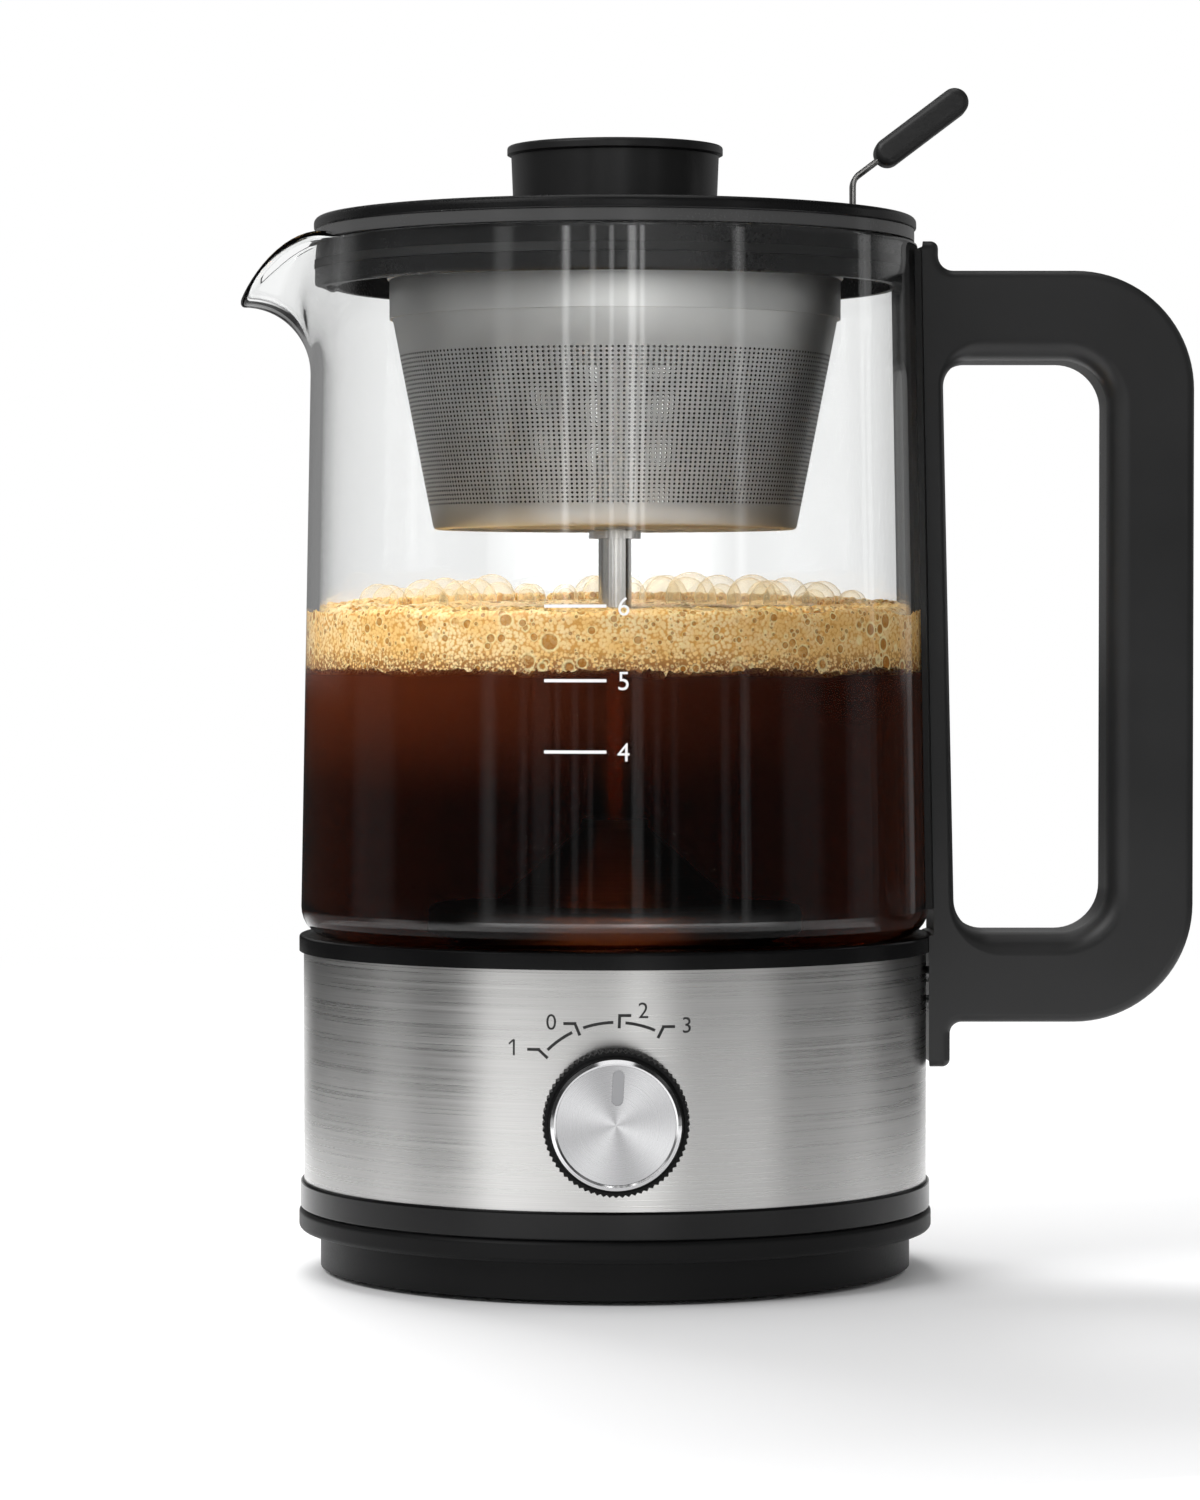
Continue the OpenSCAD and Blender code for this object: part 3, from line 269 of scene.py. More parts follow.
@dataclass(frozen=True)
class Finish:
    """A surface finish. Each kind fills in its own nodes."""

    name: str
    slot: Slot

    def shader(self, g: Graph) -> Socket:
        """Output of the finish's surface shader."""
        raise NotImplementedError

    def volume(self, g: Graph) -> Socket | None:
        """Output of what fills the piece, if anything does."""
        return None

    def material(self) -> bpy.types.Material:
        """Makes the material when it is first asked for.

        Returns:
            The material.
        """
        made = bpy.data.materials.get(self.name)
        if made is None:
            made = bpy.data.materials.new(self.name)
            g = blank(made)
            out = g.add("ShaderNodeOutputMaterial", {"Surface": self.shader(g)})
            filling = self.volume(g)
            if filling is not None:
                g.feed(out.inputs["Volume"], filling)
        return made

    def dress(self, *pieces: Piece) -> None:
        """Puts the finish on pieces, in place of what they had.

        Args:
            pieces: The pieces.
        """
        for piece in pieces:
            piece.data.materials.clear()
            piece.data.materials.append(self.material())


@dataclass(frozen=True)
class Moulded(Finish):
    """Moulded plastic or rubber, with a fine grain and slightly uneven gloss."""

    colour: Colour = (0.02, 0.02, 0.02)
    roughness: float = 0.4
    grain: float = 0.1
    pitch: float = 2400
    shine: float = 0.5
    broad: float = 45
    shades: Flat = (0.82, 1.2)
    uneven: float = 0.06
    span: Flat = (0.6, 1.4)
    depth: float = 0.00004

    def tone(self, g: Graph, broad: Socket) -> Socket:
        """Slightly uneven colour."""
        return g.tint(broad, *(scaled(self.colour, shade) for shade in self.shades))

    def shader(self, g: Graph) -> Socket:
        """Principled shader with grain in bump and gloss.

        Args:
            g: Where its nodes go.

        Returns:
            The shader's output.
        """
        broad = g.noise(self.broad, 3)
        fine = g.noise(self.pitch)
        both = g.math("ADD", broad, fine)
        smoothest, roughest = self.roughness - self.uneven, self.roughness + self.uneven
        return g.surface({
            "Base Color": self.tone(g, broad),
            "Roughness": g.spread(both, smoothest, roughest, *self.span),
            "Specular IOR Level": self.shine,
            "Normal": g.bump(fine, self.grain, self.depth),
        })


@dataclass(frozen=True)
class Flanged(Moulded):
    """Moulded plastic whose flange, above a height in metres, is satin grey."""

    flange_z: float = 0.2044
    flange_colour: Colour = (0.06, 0.06, 0.06)

    def tone(self, g: Graph, broad: Socket) -> Socket:
        """Uneven colour, greyer on the flange.

        Args:
            g: Where its nodes go.
            broad: The noise that the colour follows.

        Returns:
            The colour.
        """
        above = g.math("GREATER_THAN", g.split(g.place())["Z"], self.flange_z)
        return g.tint(above, super().tone(g, broad), self.flange_colour)


class Lay(Enum):
    """How the marks of a metal's finish run, as stretch of the noise along X, Y and Z."""

    ROUND = (14, 14, 3600)
    DRAWN = (500, 500, 12)
    PLAIN = (90, 90, 90)

    def coarser(self, share: float) -> tuple[float, ...]:
        """The stretch, made coarser by share."""
        return tuple(v * share for v in self.value)


@dataclass(frozen=True)
class Metal(Finish):
    """Bare metal with the marks of its working."""

    colour: Colour = (0.6, 0.6, 0.6)
    roughness: float = 0.25
    uneven: float = 0.08
    lay: Lay = Lay.PLAIN
    stretch: float = 0.0
    marks: float = 0.1
    relief: float = 0.15
    depth: float = 0.00002
    coarse: float = 0.22
    fine_share: float = 0.75
    span: Flat = (0.3, 0.7)

    def shader(self, g: Graph) -> Socket:
        """Principled metal, with streaks in colour, gloss and bump.

        Args:
            g: Where its nodes go.

        Returns:
            The shader's output.
        """
        fine = g.noise(1, 4, g.place(self.lay.value))
        broad = g.noise(1, 2, g.place(self.lay.coarser(self.coarse)))
        both = g.math("MULTIPLY_ADD", fine, self.fine_share, g.math("MULTIPLY", broad, 1 - self.fine_share))
        dull, light = scaled(self.colour, 1 - self.marks), scaled(self.colour, 1 + self.marks)
        smoothest, roughest = self.roughness - self.uneven, self.roughness + self.uneven
        values = {
            "Base Color": g.tint(g.step(both, *self.span), dull, light),
            "Metallic": 1.0,
            "Roughness": g.spread(both, smoothest, roughest, *self.span),
            "Normal": g.bump(fine, self.relief, self.depth),
        }
        if self.stretch:
            values |= g.stretched(self.stretch, "Z")
        return g.surface(values)


@dataclass(frozen=True)
class Spun(Finish):
    """Metal turned on a lathe about an axis along Y, with fine rings and four sectors of painted highlight
    and shade in its colour.
    """

    colour: Colour = (0.475, 0.475, 0.483)
    roughness: float = 0.24
    centre: Corner = (0.0, 0.0, 0.0355)
    sectors: float = 0.3
    stretch: float = 0.4
    pitch: float = 5200
    count: float = 4.0
    start: float = -4.19
    shades: Flat = (0.86, 1.08)
    uneven: Flat = (0.05, 0.08)
    relief: float = 0.12
    depth: float = 0.00003

    def shader(self, g: Graph) -> Socket:
        """Principled metal with rings about the centre and four soft sectors of painted highlight and shade.

        Args:
            g: Where its nodes go.

        Returns:
            The shader's output.
        """
        at = g.place((1, 0, 1), self.centre)
        out = g.math("MULTIPLY", g.length(at), self.pitch)
        rings = g.add("ShaderNodeTexNoise", {"W": out, "Scale": 1.0, "Detail": 2.0},
                      noise_dimensions="1D").outputs[0]
        part = g.split(at)
        # Painted highlight and shade: the colour lightens and darkens in four sectors round the centre.
        angle = g.math("ARCTAN2", part["Z"], part["X"])
        wave = g.math("COSINE", g.math("MULTIPLY_ADD", angle, self.count, self.start))
        painted_sheen = g.spread(wave, 1 - self.sectors, 1.0, -1.0, 1.0)
        base = g.tint(rings, *(scaled(self.colour, shade) for shade in self.shades))
        return g.surface({
            "Base Color": g.tint(painted_sheen, (0, 0, 0), base),
            "Metallic": 1.0,
            "Roughness": g.spread(rings, self.roughness - self.uneven[0], self.roughness + self.uneven[1]),
            "Normal": g.bump(rings, self.relief, self.depth),
            **g.stretched(self.stretch, "Y"),
        })


def lets_light_by(g: Graph, surface: Socket, tint: Colour) -> Socket:
    """A clear surface that lets lamps through to what is behind it.

    Args:
        g: Where its nodes go.
        surface: The clear surface's shader.
        tint: Colour of the light that comes through.

    Returns:
        The shader's output.
    """
    ray = g.add("ShaderNodeLightPath").outputs["Is Shadow Ray"]
    return g.blend(ray, surface, g.coat("ShaderNodeBsdfTransparent", tint))


@dataclass(frozen=True)
class Clear(Finish):
    """Clear glass with a faint waviness."""

    colour: Colour = (0.985, 0.99, 0.988)
    shadow: Colour = (0.93, 0.94, 0.94)
    bend: float = 1.45
    waves: float = 14
    run: Corner = (1, 1, 0.25)
    waviness: float = 0.004
    depth: float = 0.0005

    def shader(self, g: Graph) -> Socket:
        """Principled glass that lets lamps through.

        Args:
            g: Where its nodes go.

        Returns:
            The shader's output.
        """
        wave = g.noise(self.waves, 0, g.place(self.run))
        glass = g.surface({
            "Base Color": opaque(self.colour), "Roughness": 0.0, "IOR": self.bend,
            "Transmission Weight": 1.0, "Normal": g.bump(wave, self.waviness, self.depth)})
        return lets_light_by(g, glass, self.shadow)


@dataclass(frozen=True)
class Brewed(Finish):
    """Dark coffee that glows red where it is thin."""

    colour: Colour = (0.59, 0.4, 0.2)
    density: float = 116.0
    bend: float = 1.33
    roughness: float = 0.02
    murk: Colour = (0.3, 0.06, 0.017)
    murk_share: Flat = (0.29, 0.03)
    murk_x: Flat = (-0.055, 0.045)
    murk_z: Flat = (0.093, 0.12)

    def shader(self, g: Graph) -> Socket:
        """Principled liquid that lets lamps through, with a diffuse share under the foam that is strongest
        on the left: partly the coffee's own murk, partly a painted glow where the light falls.

        Args:
            g: Where its nodes go.

        Returns:
            The shader's output.
        """
        liquid = g.surface({
            "Base Color": opaque(WHITE), "Roughness": self.roughness, "IOR": self.bend,
            "Transmission Weight": 1.0})
        at = g.split(g.place())
        # Painted glow: the diffuse share is strongest near the top and on the left, where the light falls in
        # the coffee.
        across = g.spread(at["X"], *self.murk_share, *self.murk_x)
        share = g.math("MULTIPLY", g.step(at["Z"], *self.murk_z), across)
        mixed = g.blend(share, liquid, g.coat("ShaderNodeBsdfDiffuse", self.murk))
        return lets_light_by(g, mixed, WHITE)

    def volume(self, g: Graph) -> Socket:
        """Absorption that takes blue and green first."""
        return g.coat("ShaderNodeVolumeAbsorption", self.colour, Density=self.density)


@dataclass(frozen=True)
class Froth(Finish):
    """Golden foam with round bubbles of several sizes."""

    light: Colour = (1.0, 0.79, 0.42)
    mid: Colour = (0.95, 0.62, 0.22)
    amber: Colour = (0.42, 0.17, 0.025)
    dark: Colour = (0.28, 0.1, 0.018)
    gap: Colour = (0.72, 0.36, 0.07)
    low_z: float = 0.1195
    pitted: float = 0.0055
    # Painted shade on the foam's right side: where it starts and ends across X, and how strong it is.
    shade_x: Flat = (-0.015, 0.045)
    shade: float = 0.3
    fine: float = 1500
    patches: float = 150
    patch_span: Flat = (0.35, 0.68)
    gap_span: Flat = (0.4, 0.78)
    clumps: float = 38
    clump_span: Flat = (0.47, 0.56)
    low_gaps: float = 0.2
    bubble_size: Flat = (0.2, 0.44)
    pick_span: float = 0.02
    inside_span: Flat = (1.0, 0.8)
    outer_span: Flat = (1.3, 1.05)
    rim_light: float = 1.1
    rim_share: float = 0.7
    inside_share: float = 0.85
    fine_dents: float = -0.25
    gloss: Flat = (0.42, 0.12)
    soft: float = 0.1
    bleed: Colour = (0.003, 0.0015, 0.0006)
    relief: float = 0.55
    depth: float = 0.0006

    def cells(self, g: Graph, scale: float) -> tuple[Socket, Socket]:
        """Round cells of the foam.

        Args:
            g: Where their nodes go.
            scale: How many there are to the metre.

        Returns:
            Distance to the nearest cell's middle and a random value for each cell.
        """
        node = g.add("ShaderNodeTexVoronoi", {"Vector": g.place(), "Scale": scale, "Randomness": 1.0})
        shade = g.add("ShaderNodeSeparateColor", {0: node.outputs["Color"]})
        return node.outputs["Distance"], shade.outputs[0]

    def bubbles(self, g: Graph, scale: float, share: float) -> tuple[Socket, Socket]:
        """Round bubbles in some of the cells.

        Args:
            g: Where their nodes go.
            scale: How many cells there are to the metre.
            share: The share of them that holds a bubble.

        Returns:
            The bubbles' insides and their rims.
        """
        away, pick = self.cells(g, scale)
        size = g.spread(pick, *self.bubble_size, 1 - share, 1)
        some = g.step(pick, 1 - share - self.pick_span, 1 - share + self.pick_span)
        out = g.math("DIVIDE", away, size)
        inside = g.math("MULTIPLY", g.step(out, *self.inside_span), some)
        outer = g.math("MULTIPLY", g.step(out, *self.outer_span), some)
        return inside, g.math("SUBTRACT", outer, inside)

    def shader(self, g: Graph) -> Socket:
        """Soft shader whose bubbles darken and dent the foam, with more pits along its lower edge and
        painted shade towards its right side.

        Args:
            g: Where its nodes go.

        Returns:
            The shader's output.
        """
        fine, _ = self.cells(g, self.fine)
        at = g.split(g.place())
        low = g.step(at["Z"], self.low_z + self.pitted, self.low_z)
        base = g.tint(g.step(g.noise(self.patches, 4), *self.patch_span), self.mid, self.light)
        # Painted shade: the foam turns browner and darker towards its right side, away from the light.
        base = g.tint(g.math("MULTIPLY", g.step(at["X"], *self.shade_x), self.shade), base, self.gap)
        gaps = g.step(g.math("MULTIPLY_ADD", low, self.low_gaps, fine), *self.gap_span)
        base = g.tint(gaps, base, g.tint(low, self.gap, self.dark))
        clumps = g.step(g.noise(self.clumps, 1), *self.clump_span)
        # Cells to the metre, share that holds a bubble, colour inside and strength of each layer.
        layers = ((1300, 0.55, self.dark, low), (850, 0.4, self.dark, 0.7), (470, 0.4, self.amber, 0.8),
                  (250, 0.75, self.amber, clumps))
        pits = 0.0
        for scale, share, colour, strength in layers:
            inside, rim = (g.math("MULTIPLY", part, strength) for part in self.bubbles(g, scale, share))
            # Painted highlight: a lighter ring of foam colour round each bubble's rim.
            base = g.tint(g.math("MULTIPLY", rim, self.rim_share), base, scaled(self.light, self.rim_light))
            base = g.tint(g.math("MULTIPLY", inside, self.inside_share), base, colour)
            pits = g.math("MAXIMUM", pits, inside)
        dents = g.math("MULTIPLY_ADD", fine, self.fine_dents, g.math("MULTIPLY", pits, -1.0))
        return g.surface({
            "Base Color": base,
            "Roughness": g.spread(pits, *self.gloss),
            "Subsurface Weight": self.soft,
            "Subsurface Radius": self.bleed,
            "Subsurface Scale": 1.0,
            "Normal": g.bump(dents, self.relief, self.depth),
        })


@dataclass(frozen=True)
class Bubble(Finish):
    """Thin golden skin of a large bubble."""

    colour: Colour = (1.0, 0.9, 0.66)
    through: Colour = (1.0, 0.985, 0.95)
    glow: float = 0.85
    grain: float = 500
    shades: Flat = (0.92, 0.75)
    roughness: float = 0.08
    edge: float = 0.4
    rim: Flat = (0.6, 0.98)
    cover: Flat = (0.08, 0.7)
    falloff: float = 2.2

    def shader(self, g: Graph) -> Socket:
        """Glossy film that the light behind shines through, denser and browner towards its edge.

        Args:
            g: Where its nodes go.

        Returns:
            The shader's output.
        """
        edge = g.add("ShaderNodeLayerWeight", {"Blend": self.edge}).outputs["Facing"]
        mottled, browned = (scaled(self.colour, shade) for shade in self.shades)
        tone = g.tint(g.noise(self.grain, 3), mottled, self.colour)
        skin = g.tint(g.step(edge, *self.rim), tone, browned)
        gloss = g.surface({"Base Color": skin, "Roughness": self.roughness})
        film = g.blend(self.glow, gloss, g.coat("ShaderNodeBsdfTranslucent", skin))
        share = g.spread(g.math("POWER", edge, self.falloff), *self.cover)
        return g.blend(share, g.coat("ShaderNodeBsdfTransparent", self.through), film)


@dataclass(frozen=True)
class Ink(Finish):
    """Printed ink, slightly uneven."""

    colour: Colour = (0.9, 0.9, 0.9)
    grain: float = 1800
    faded: float = 0.93
    roughness: float = 0.5

    def shader(self, g: Graph) -> Socket:
        """Rough coat of colour."""
        tone = g.tint(g.noise(self.grain), scaled(self.colour, self.faded), self.colour)
        return g.surface({"Base Color": tone, "Roughness": self.roughness})


class Finishes:
    """Every finish on the percolator."""

    handle = Moulded("satin_black", Slot.BLACK_PLASTIC, (0.018, 0.018, 0.0182), 0.38, 0.12)
    base = Moulded("matte_black", Slot.BLACK_PLASTIC, (0.006, 0.006, 0.0062), 0.42, 0.16, 2400, 0.12)
    gloss = Moulded("gloss_black_band", Slot.GLOSS_BLACK, (0.004, 0.004, 0.0042), 0.2, 0.03, 2400, 0.25)
    lid_top = Moulded("lid_black", Slot.BLACK_PLASTIC, (0.006, 0.006, 0.0062), 0.3, 0.08, 2400, 0.3)
    knob = Moulded("lid_knob_black", Slot.BLACK_PLASTIC, (0.014, 0.014, 0.0142), 0.34, 0.08, 2400, 0.4)
    lid_body = Flanged("lid_grey_black", Slot.LID_PLASTIC, (0.006, 0.006, 0.0062), 0.24, 0.05, 2400, 0.3)
    lid_rubber = Moulded("lid_seal_black", Slot.SILICONE, (0.008, 0.008, 0.008), 0.5, 0.1, 1200, 0.4)
    housing = Moulded("housing_grey", Slot.HOUSING_PLASTIC, (0.1, 0.1, 0.102), 0.5, 0.12)
    rubber = Moulded("foot_rubber", Slot.BLACK_RUBBER, (0.018, 0.018, 0.018), 0.7, 0.3, 1600, 0.3)
    silicone = Moulded("seal_silicone", Slot.SILICONE, (0.03, 0.028, 0.026), 0.55, 0.1, 1200, 0.4)
    ceramic = Moulded("fuse_ceramic", Slot.CERAMIC, (0.75, 0.73, 0.68), 0.55, 0.2, 900)
    pointer = Moulded("pointer_paint", Slot.POINTER_GREY, (0.3, 0.3, 0.31), 0.4, 0.08)
    band = Metal("brushed_band", Slot.BAND_STEEL, (0.6, 0.595, 0.585), 0.3, 0.07, Lay.ROUND, 0.7, 0.09, 0.06)
    sheet = Metal(
        "sheet_steel_satin", Slot.SHEET_STEEL, (0.62, 0.62, 0.61), 0.4, 0.03, Lay.PLAIN, 0.0, 0.04, 0.02)
    # Painted shade: dark steel for the inside and hole walls of the pierced wall, where little light gets
    # in.
    stained = Metal(
        "sheet_steel_stained", Slot.SHEET_STEEL, (0.07, 0.062, 0.055), 0.5, 0.05, Lay.PLAIN, 0.0, 0.2, 0.05)
    bright = Metal(
        "bright_drawn_steel", Slot.BRIGHT_STEEL, (0.66, 0.65, 0.63), 0.16, 0.05, Lay.DRAWN, 0.0, 0.08, 0.05)
    brew_steel = Metal(
        "brew_steel", Slot.BRIGHT_STEEL, (0.18, 0.165, 0.14), 0.38, 0.06, Lay.PLAIN, 0.0, 0.12, 0.05)
    foot = Metal(
        "brew_foot_turned", Slot.BRIGHT_STEEL, (0.8, 0.79, 0.77), 0.58, 0.06, Lay.ROUND, 0.92, 0.06, 0.03)
    screw = Metal("screw_zinc", Slot.SCREW_STEEL, (0.6, 0.6, 0.6), 0.3, 0.06, Lay.PLAIN, 0.0, 0.1, 0.1)
    brass = Metal(
        "contact_brass_worn", Slot.CONTACT_BRASS, (0.8, 0.6, 0.28), 0.28, 0.08, Lay.PLAIN, 0.0, 0.15, 0.1)
    bevel = Metal(
        "dial_edge_bright", Slot.SPUN_ALUMINIUM, (0.85, 0.85, 0.86), 0.14, 0.04, Lay.PLAIN, 0.0, 0.04, 0.03)
    dial = Spun("dial_spun", Slot.SPUN_ALUMINIUM)
    glass = Clear("jug_glass", Slot.GLASS)
    brew = Brewed("brew_liquid", Slot.GLASS)
    froth = Froth("brew_froth", Slot.GLASS)
    bubble = Bubble("froth_bubble", Slot.GLASS)
    white_ink = Ink("white_print", Slot.GLASS, (0.92, 0.92, 0.92))
    black_ink = Ink("black_print", Slot.BLACK_PLASTIC, (0.012, 0.012, 0.012))


# Meshes


def corner_arc(before: Flat, corner: Corner, after: Flat, inset: float, steps: int) -> list[np.ndarray]:
    """Points of one rounded corner of an outline that is drawn inset.

    Args:
        before: The corner before it.
        corner: The corner, with its radius.
        after: The corner after it.
        inset: How far the outline is drawn inwards.
        steps: Number of chords of the arc.

    Returns:
        The arc's points in order.
    """
    p, b, a = (np.array(q[:2], float) for q in (corner, before, after))
    u, v = (b - p) / np.linalg.norm(b - p), (a - p) / np.linalg.norm(a - p)
    turn = 1 if np.cross(p - b, a - p) > 0 else -1
    half = math.acos(float(np.clip(u @ v, -1, 1))) / 2
    middle = (u + v) / np.linalg.norm(u + v)
    q = p + turn * middle * inset / math.sin(half)
    radius = max(corner[2] - turn * inset, 0.05)
    centre = q + middle * radius / math.sin(half)
    start = q + u * radius / math.tan(half) - centre
    first = math.atan2(start[1], start[0])
    sweep = turn * (math.pi - 2 * half)
    angles = first + sweep * np.linspace(0, 1, steps + 1)
    return [centre + radius * np.array((math.cos(t), math.sin(t))) for t in angles]


def outline(corners: Sequence[Corner], inset: float = 0.0, steps: int = 6) -> np.ndarray:
    """Closed rounded outline through corners of x, y and radius, taken anticlockwise."""
    count = len(corners)
    return np.array([p for i in range(count) for p in corner_arc(
        corners[i - 1], corners[i], corners[(i + 1) % count], inset, steps)])


def edge_rows(half: float, radius: float, side: int, steps: int = 7) -> list[Flat]:
    """Rows along a rounded edge, from one face of a slab to the other.

    Args:
        half: Half of the slab's thickness.
        radius: Radius of the edge.
        side: 1 where the edge turns inwards, -1 where it turns outwards.
        steps: Number of chords of each arc.

    Returns:
        Depth and inset of each row.
    """
    turn = [QUARTER * i / steps for i in range(steps + 1)]
    rise = [(-half + radius - radius * math.cos(t), side * (radius - radius * math.sin(t))) for t in turn]
    return rise + [(-y, d) for y, d in reversed(rise)]


def around(count: int) -> np.ndarray:
    """Angles of so many even steps, once round."""
    return np.linspace(0, 2 * math.pi, count, endpoint=False)


def ring(angle: np.ndarray, radius: float | np.ndarray, z: float | np.ndarray) -> np.ndarray:
    """Points about Z at these angles, at a radius and height."""
    return np.stack((radius * np.cos(angle), radius * np.sin(angle), 0 * angle + z), axis=1)


def link_plain(name: str, points: Iterable, faces: Sequence[Sequence[int]]) -> Piece:
    """Makes an object from points in millimetres, as they are.

    Args:
        name: The object's name.
        points: Its points.
        faces: Its faces as rows of point numbers.

    Returns:
        The object.
    """
    mesh = bpy.data.meshes.new(name)
    mesh.from_pydata((np.asarray(points, float) * MM).tolist(), [], faces)
    made = bpy.data.objects.new(name, mesh)
    bpy.context.scene.collection.objects.link(made)
    return made


def smooth(mesh: bpy.types.Mesh, crease: float) -> None:
    """Shades a mesh smooth, apart from edges above an angle in degrees."""
    mesh.shade_smooth()
    mesh.set_sharp_from_angle(angle=math.radians(crease))


def link_mesh(name: str, points: Iterable, faces: Sequence[Sequence[int]], crease: float = 32.0) -> Piece:
    """Makes a piece from points in millimetres.

    Args:
        name: The piece's name.
        points: Its points.
        faces: Its faces as rows of point numbers.
        crease: Angle in degrees above which an edge stays sharp.

    Returns:
        The piece, shaded smooth, with its faces turned outwards.
    """
    made = link_plain(name, points, faces)
    work = bmesh.new()
    work.from_mesh(made.data)
    bmesh.ops.remove_doubles(work, verts=work.verts, dist=MERGE)
    bmesh.ops.recalc_face_normals(work, faces=work.faces)
    work.to_mesh(made.data)
    work.free()
    smooth(made.data, crease)
    return made


def loft(name: str, loops: Sequence[np.ndarray], crease: float = 32.0) -> Piece:
    """Makes a closed solid with flat ends.

    Args:
        name: The piece's name.
        loops: Loops of equal length that it runs through.
        crease: Angle in degrees above which an edge stays sharp.

    Returns:
        The solid.
    """
    m = len(loops[0])
    faces = [(i * m + j, (i + 1) * m + j, (i + 1) * m + (j + 1) % m, i * m + (j + 1) % m)
             for i in range(len(loops) - 1) for j in range(m)]
    faces += [tuple(range(m)), tuple(range(len(loops) * m - 1, (len(loops) - 1) * m - 1, -1))]
    return link_mesh(name, np.concatenate(loops), faces, crease)


def wrap_rows(rows: np.ndarray, closed: bool) -> list[tuple[int, ...]]:
    """Faces over rows of points that go once round.

    Args:
        rows: The rows.
        closed: Whether the last row is joined to the first.

    Returns:
        The quads.
    """
    n, m = rows.shape[:2]
    last = n if closed else n - 1
    return [(i * m + j, i * m + (j + 1) % m, (i + 1) % n * m + (j + 1) % m, (i + 1) % n * m + j)
            for i in range(last) for j in range(m)]


def revolve(profile: Sequence[Flat], count: int) -> tuple[list, list]:
    """Turns a closed profile about Z.

    Args:
        profile: Its points, by radius and height.
        count: Number of steps round.

    Returns:
        The points and the faces.
    """
    angle = around(count)
    rows = np.stack([ring(angle, r, z) for r, z in profile])
    return rows.reshape(-1, 3).tolist(), wrap_rows(rows, True)


def settle(piece: Piece) -> Piece:
    """Turns a piece's modifiers into its mesh.

    Args:
        piece: The piece.

    Returns:
        The same piece, with a plain mesh.
    """
    graph = bpy.context.evaluated_depsgraph_get()
    made = bpy.data.meshes.new_from_object(
        piece.evaluated_get(graph), preserve_all_data_layers=True, depsgraph=graph)
    piece.modifiers.clear()
    old, piece.data = piece.data, made
    bpy.data.meshes.remove(old)
    made.name = piece.name
    return piece


def discard(*pieces: Piece) -> None:
    """Removes helper objects."""
    for piece in pieces:
        bpy.data.objects.remove(piece)


def report(piece: Piece) -> None:
    """Logs one finished piece."""
    LOG.info("%s: %d faces", piece.name, len(piece.data.polygons))


class Tree:
    """A Geometry Nodes tree with named inputs, run once to make a plain mesh."""

    KINDS = {float: "NodeSocketFloat", int: "NodeSocketInt", Piece: "NodeSocketObject",
             bpy.types.Material: "NodeSocketMaterial"}

    def __init__(self, name: str, **values: object) -> None:
        """Makes the tree with one input for each value.

        Args:
            name: The tree's name.
            values: Values of its inputs, by name.
        """
        self.name, self.values = name, values
        self.tree = bpy.data.node_groups.new(name, "GeometryNodeTree")
        self.ids = {}
        for key, value in values.items():
            socket = self.tree.interface.new_socket(
                key.replace("_", " ").title(), in_out="INPUT", socket_type=self.KINDS[type(value)])
            self.ids[key] = socket.identifier
        self.tree.interface.new_socket("Geometry", in_out="OUTPUT", socket_type="NodeSocketGeometry")
        self.g = Graph(self.tree)
        entry = self.g.add("NodeGroupInput")
        self.inputs = {key: entry.outputs[i] for i, key in enumerate(values)}

    def finish(self, shape: Socket, smooth_faces: bool) -> None:
        """Ends the tree: realized, shaded and given its material.

        Args:
            shape: What the tree made.
            smooth_faces: Whether it is shaded smooth.
        """
        g = self.g
        real = g.add("GeometryNodeRealizeInstances", {0: shape}).outputs[0]
        shade = g.add("GeometryNodeSetShadeSmooth", {"Geometry": real, "Shade Smooth": smooth_faces})
        paint = g.add("GeometryNodeSetMaterial", {
            "Geometry": shade.outputs[0], "Material": self.inputs["finish"]})
        g.add("NodeGroupOutput", {0: paint.outputs[0]})

    def shape_of(self, name: str) -> Socket:
        """Geometry of the object in one input."""
        return self.g.add("GeometryNodeObjectInfo", {"Object": self.inputs[name]}).outputs["Geometry"]

    def spot(self) -> Outputs:
        """X, Y and Z of each point, by name."""
        return self.g.split(self.g.add("GeometryNodeInputPosition").outputs[0])

    def run(self, name: str) -> Piece:
        """Runs the tree.

        Args:
            name: The new piece's name.

        Returns:
            The result as a plain mesh.
        """
        piece = bpy.data.objects.new(name, bpy.data.meshes.new(name))
        bpy.context.scene.collection.objects.link(piece)
        grow = piece.modifiers.new(self.name, "NODES")
        grow.node_group = self.tree
        for key, value in self.values.items():
            grow[self.ids[key]] = value
        return settle(piece)


def on_wall(tree: Tree, across: object, radius: object, height: object) -> Socket:
    """Position on a round wall.

    Args:
        tree: The tree that its nodes go into.
        across: Angle that starts at the front and grows to the right.
        radius: Radius of the wall.
        height: Height on it.

    Returns:
        The position.
    """
    g = tree.g
    x = g.math("MULTIPLY", g.math("SINE", across), radius)
    y = g.math("MULTIPLY", g.math("COSINE", across), g.math("MULTIPLY", radius, -1.0))
    return g.add("ShaderNodeCombineXYZ", {"X": x, "Y": y, "Z": height}).outputs[0]


# Sub-assemblies


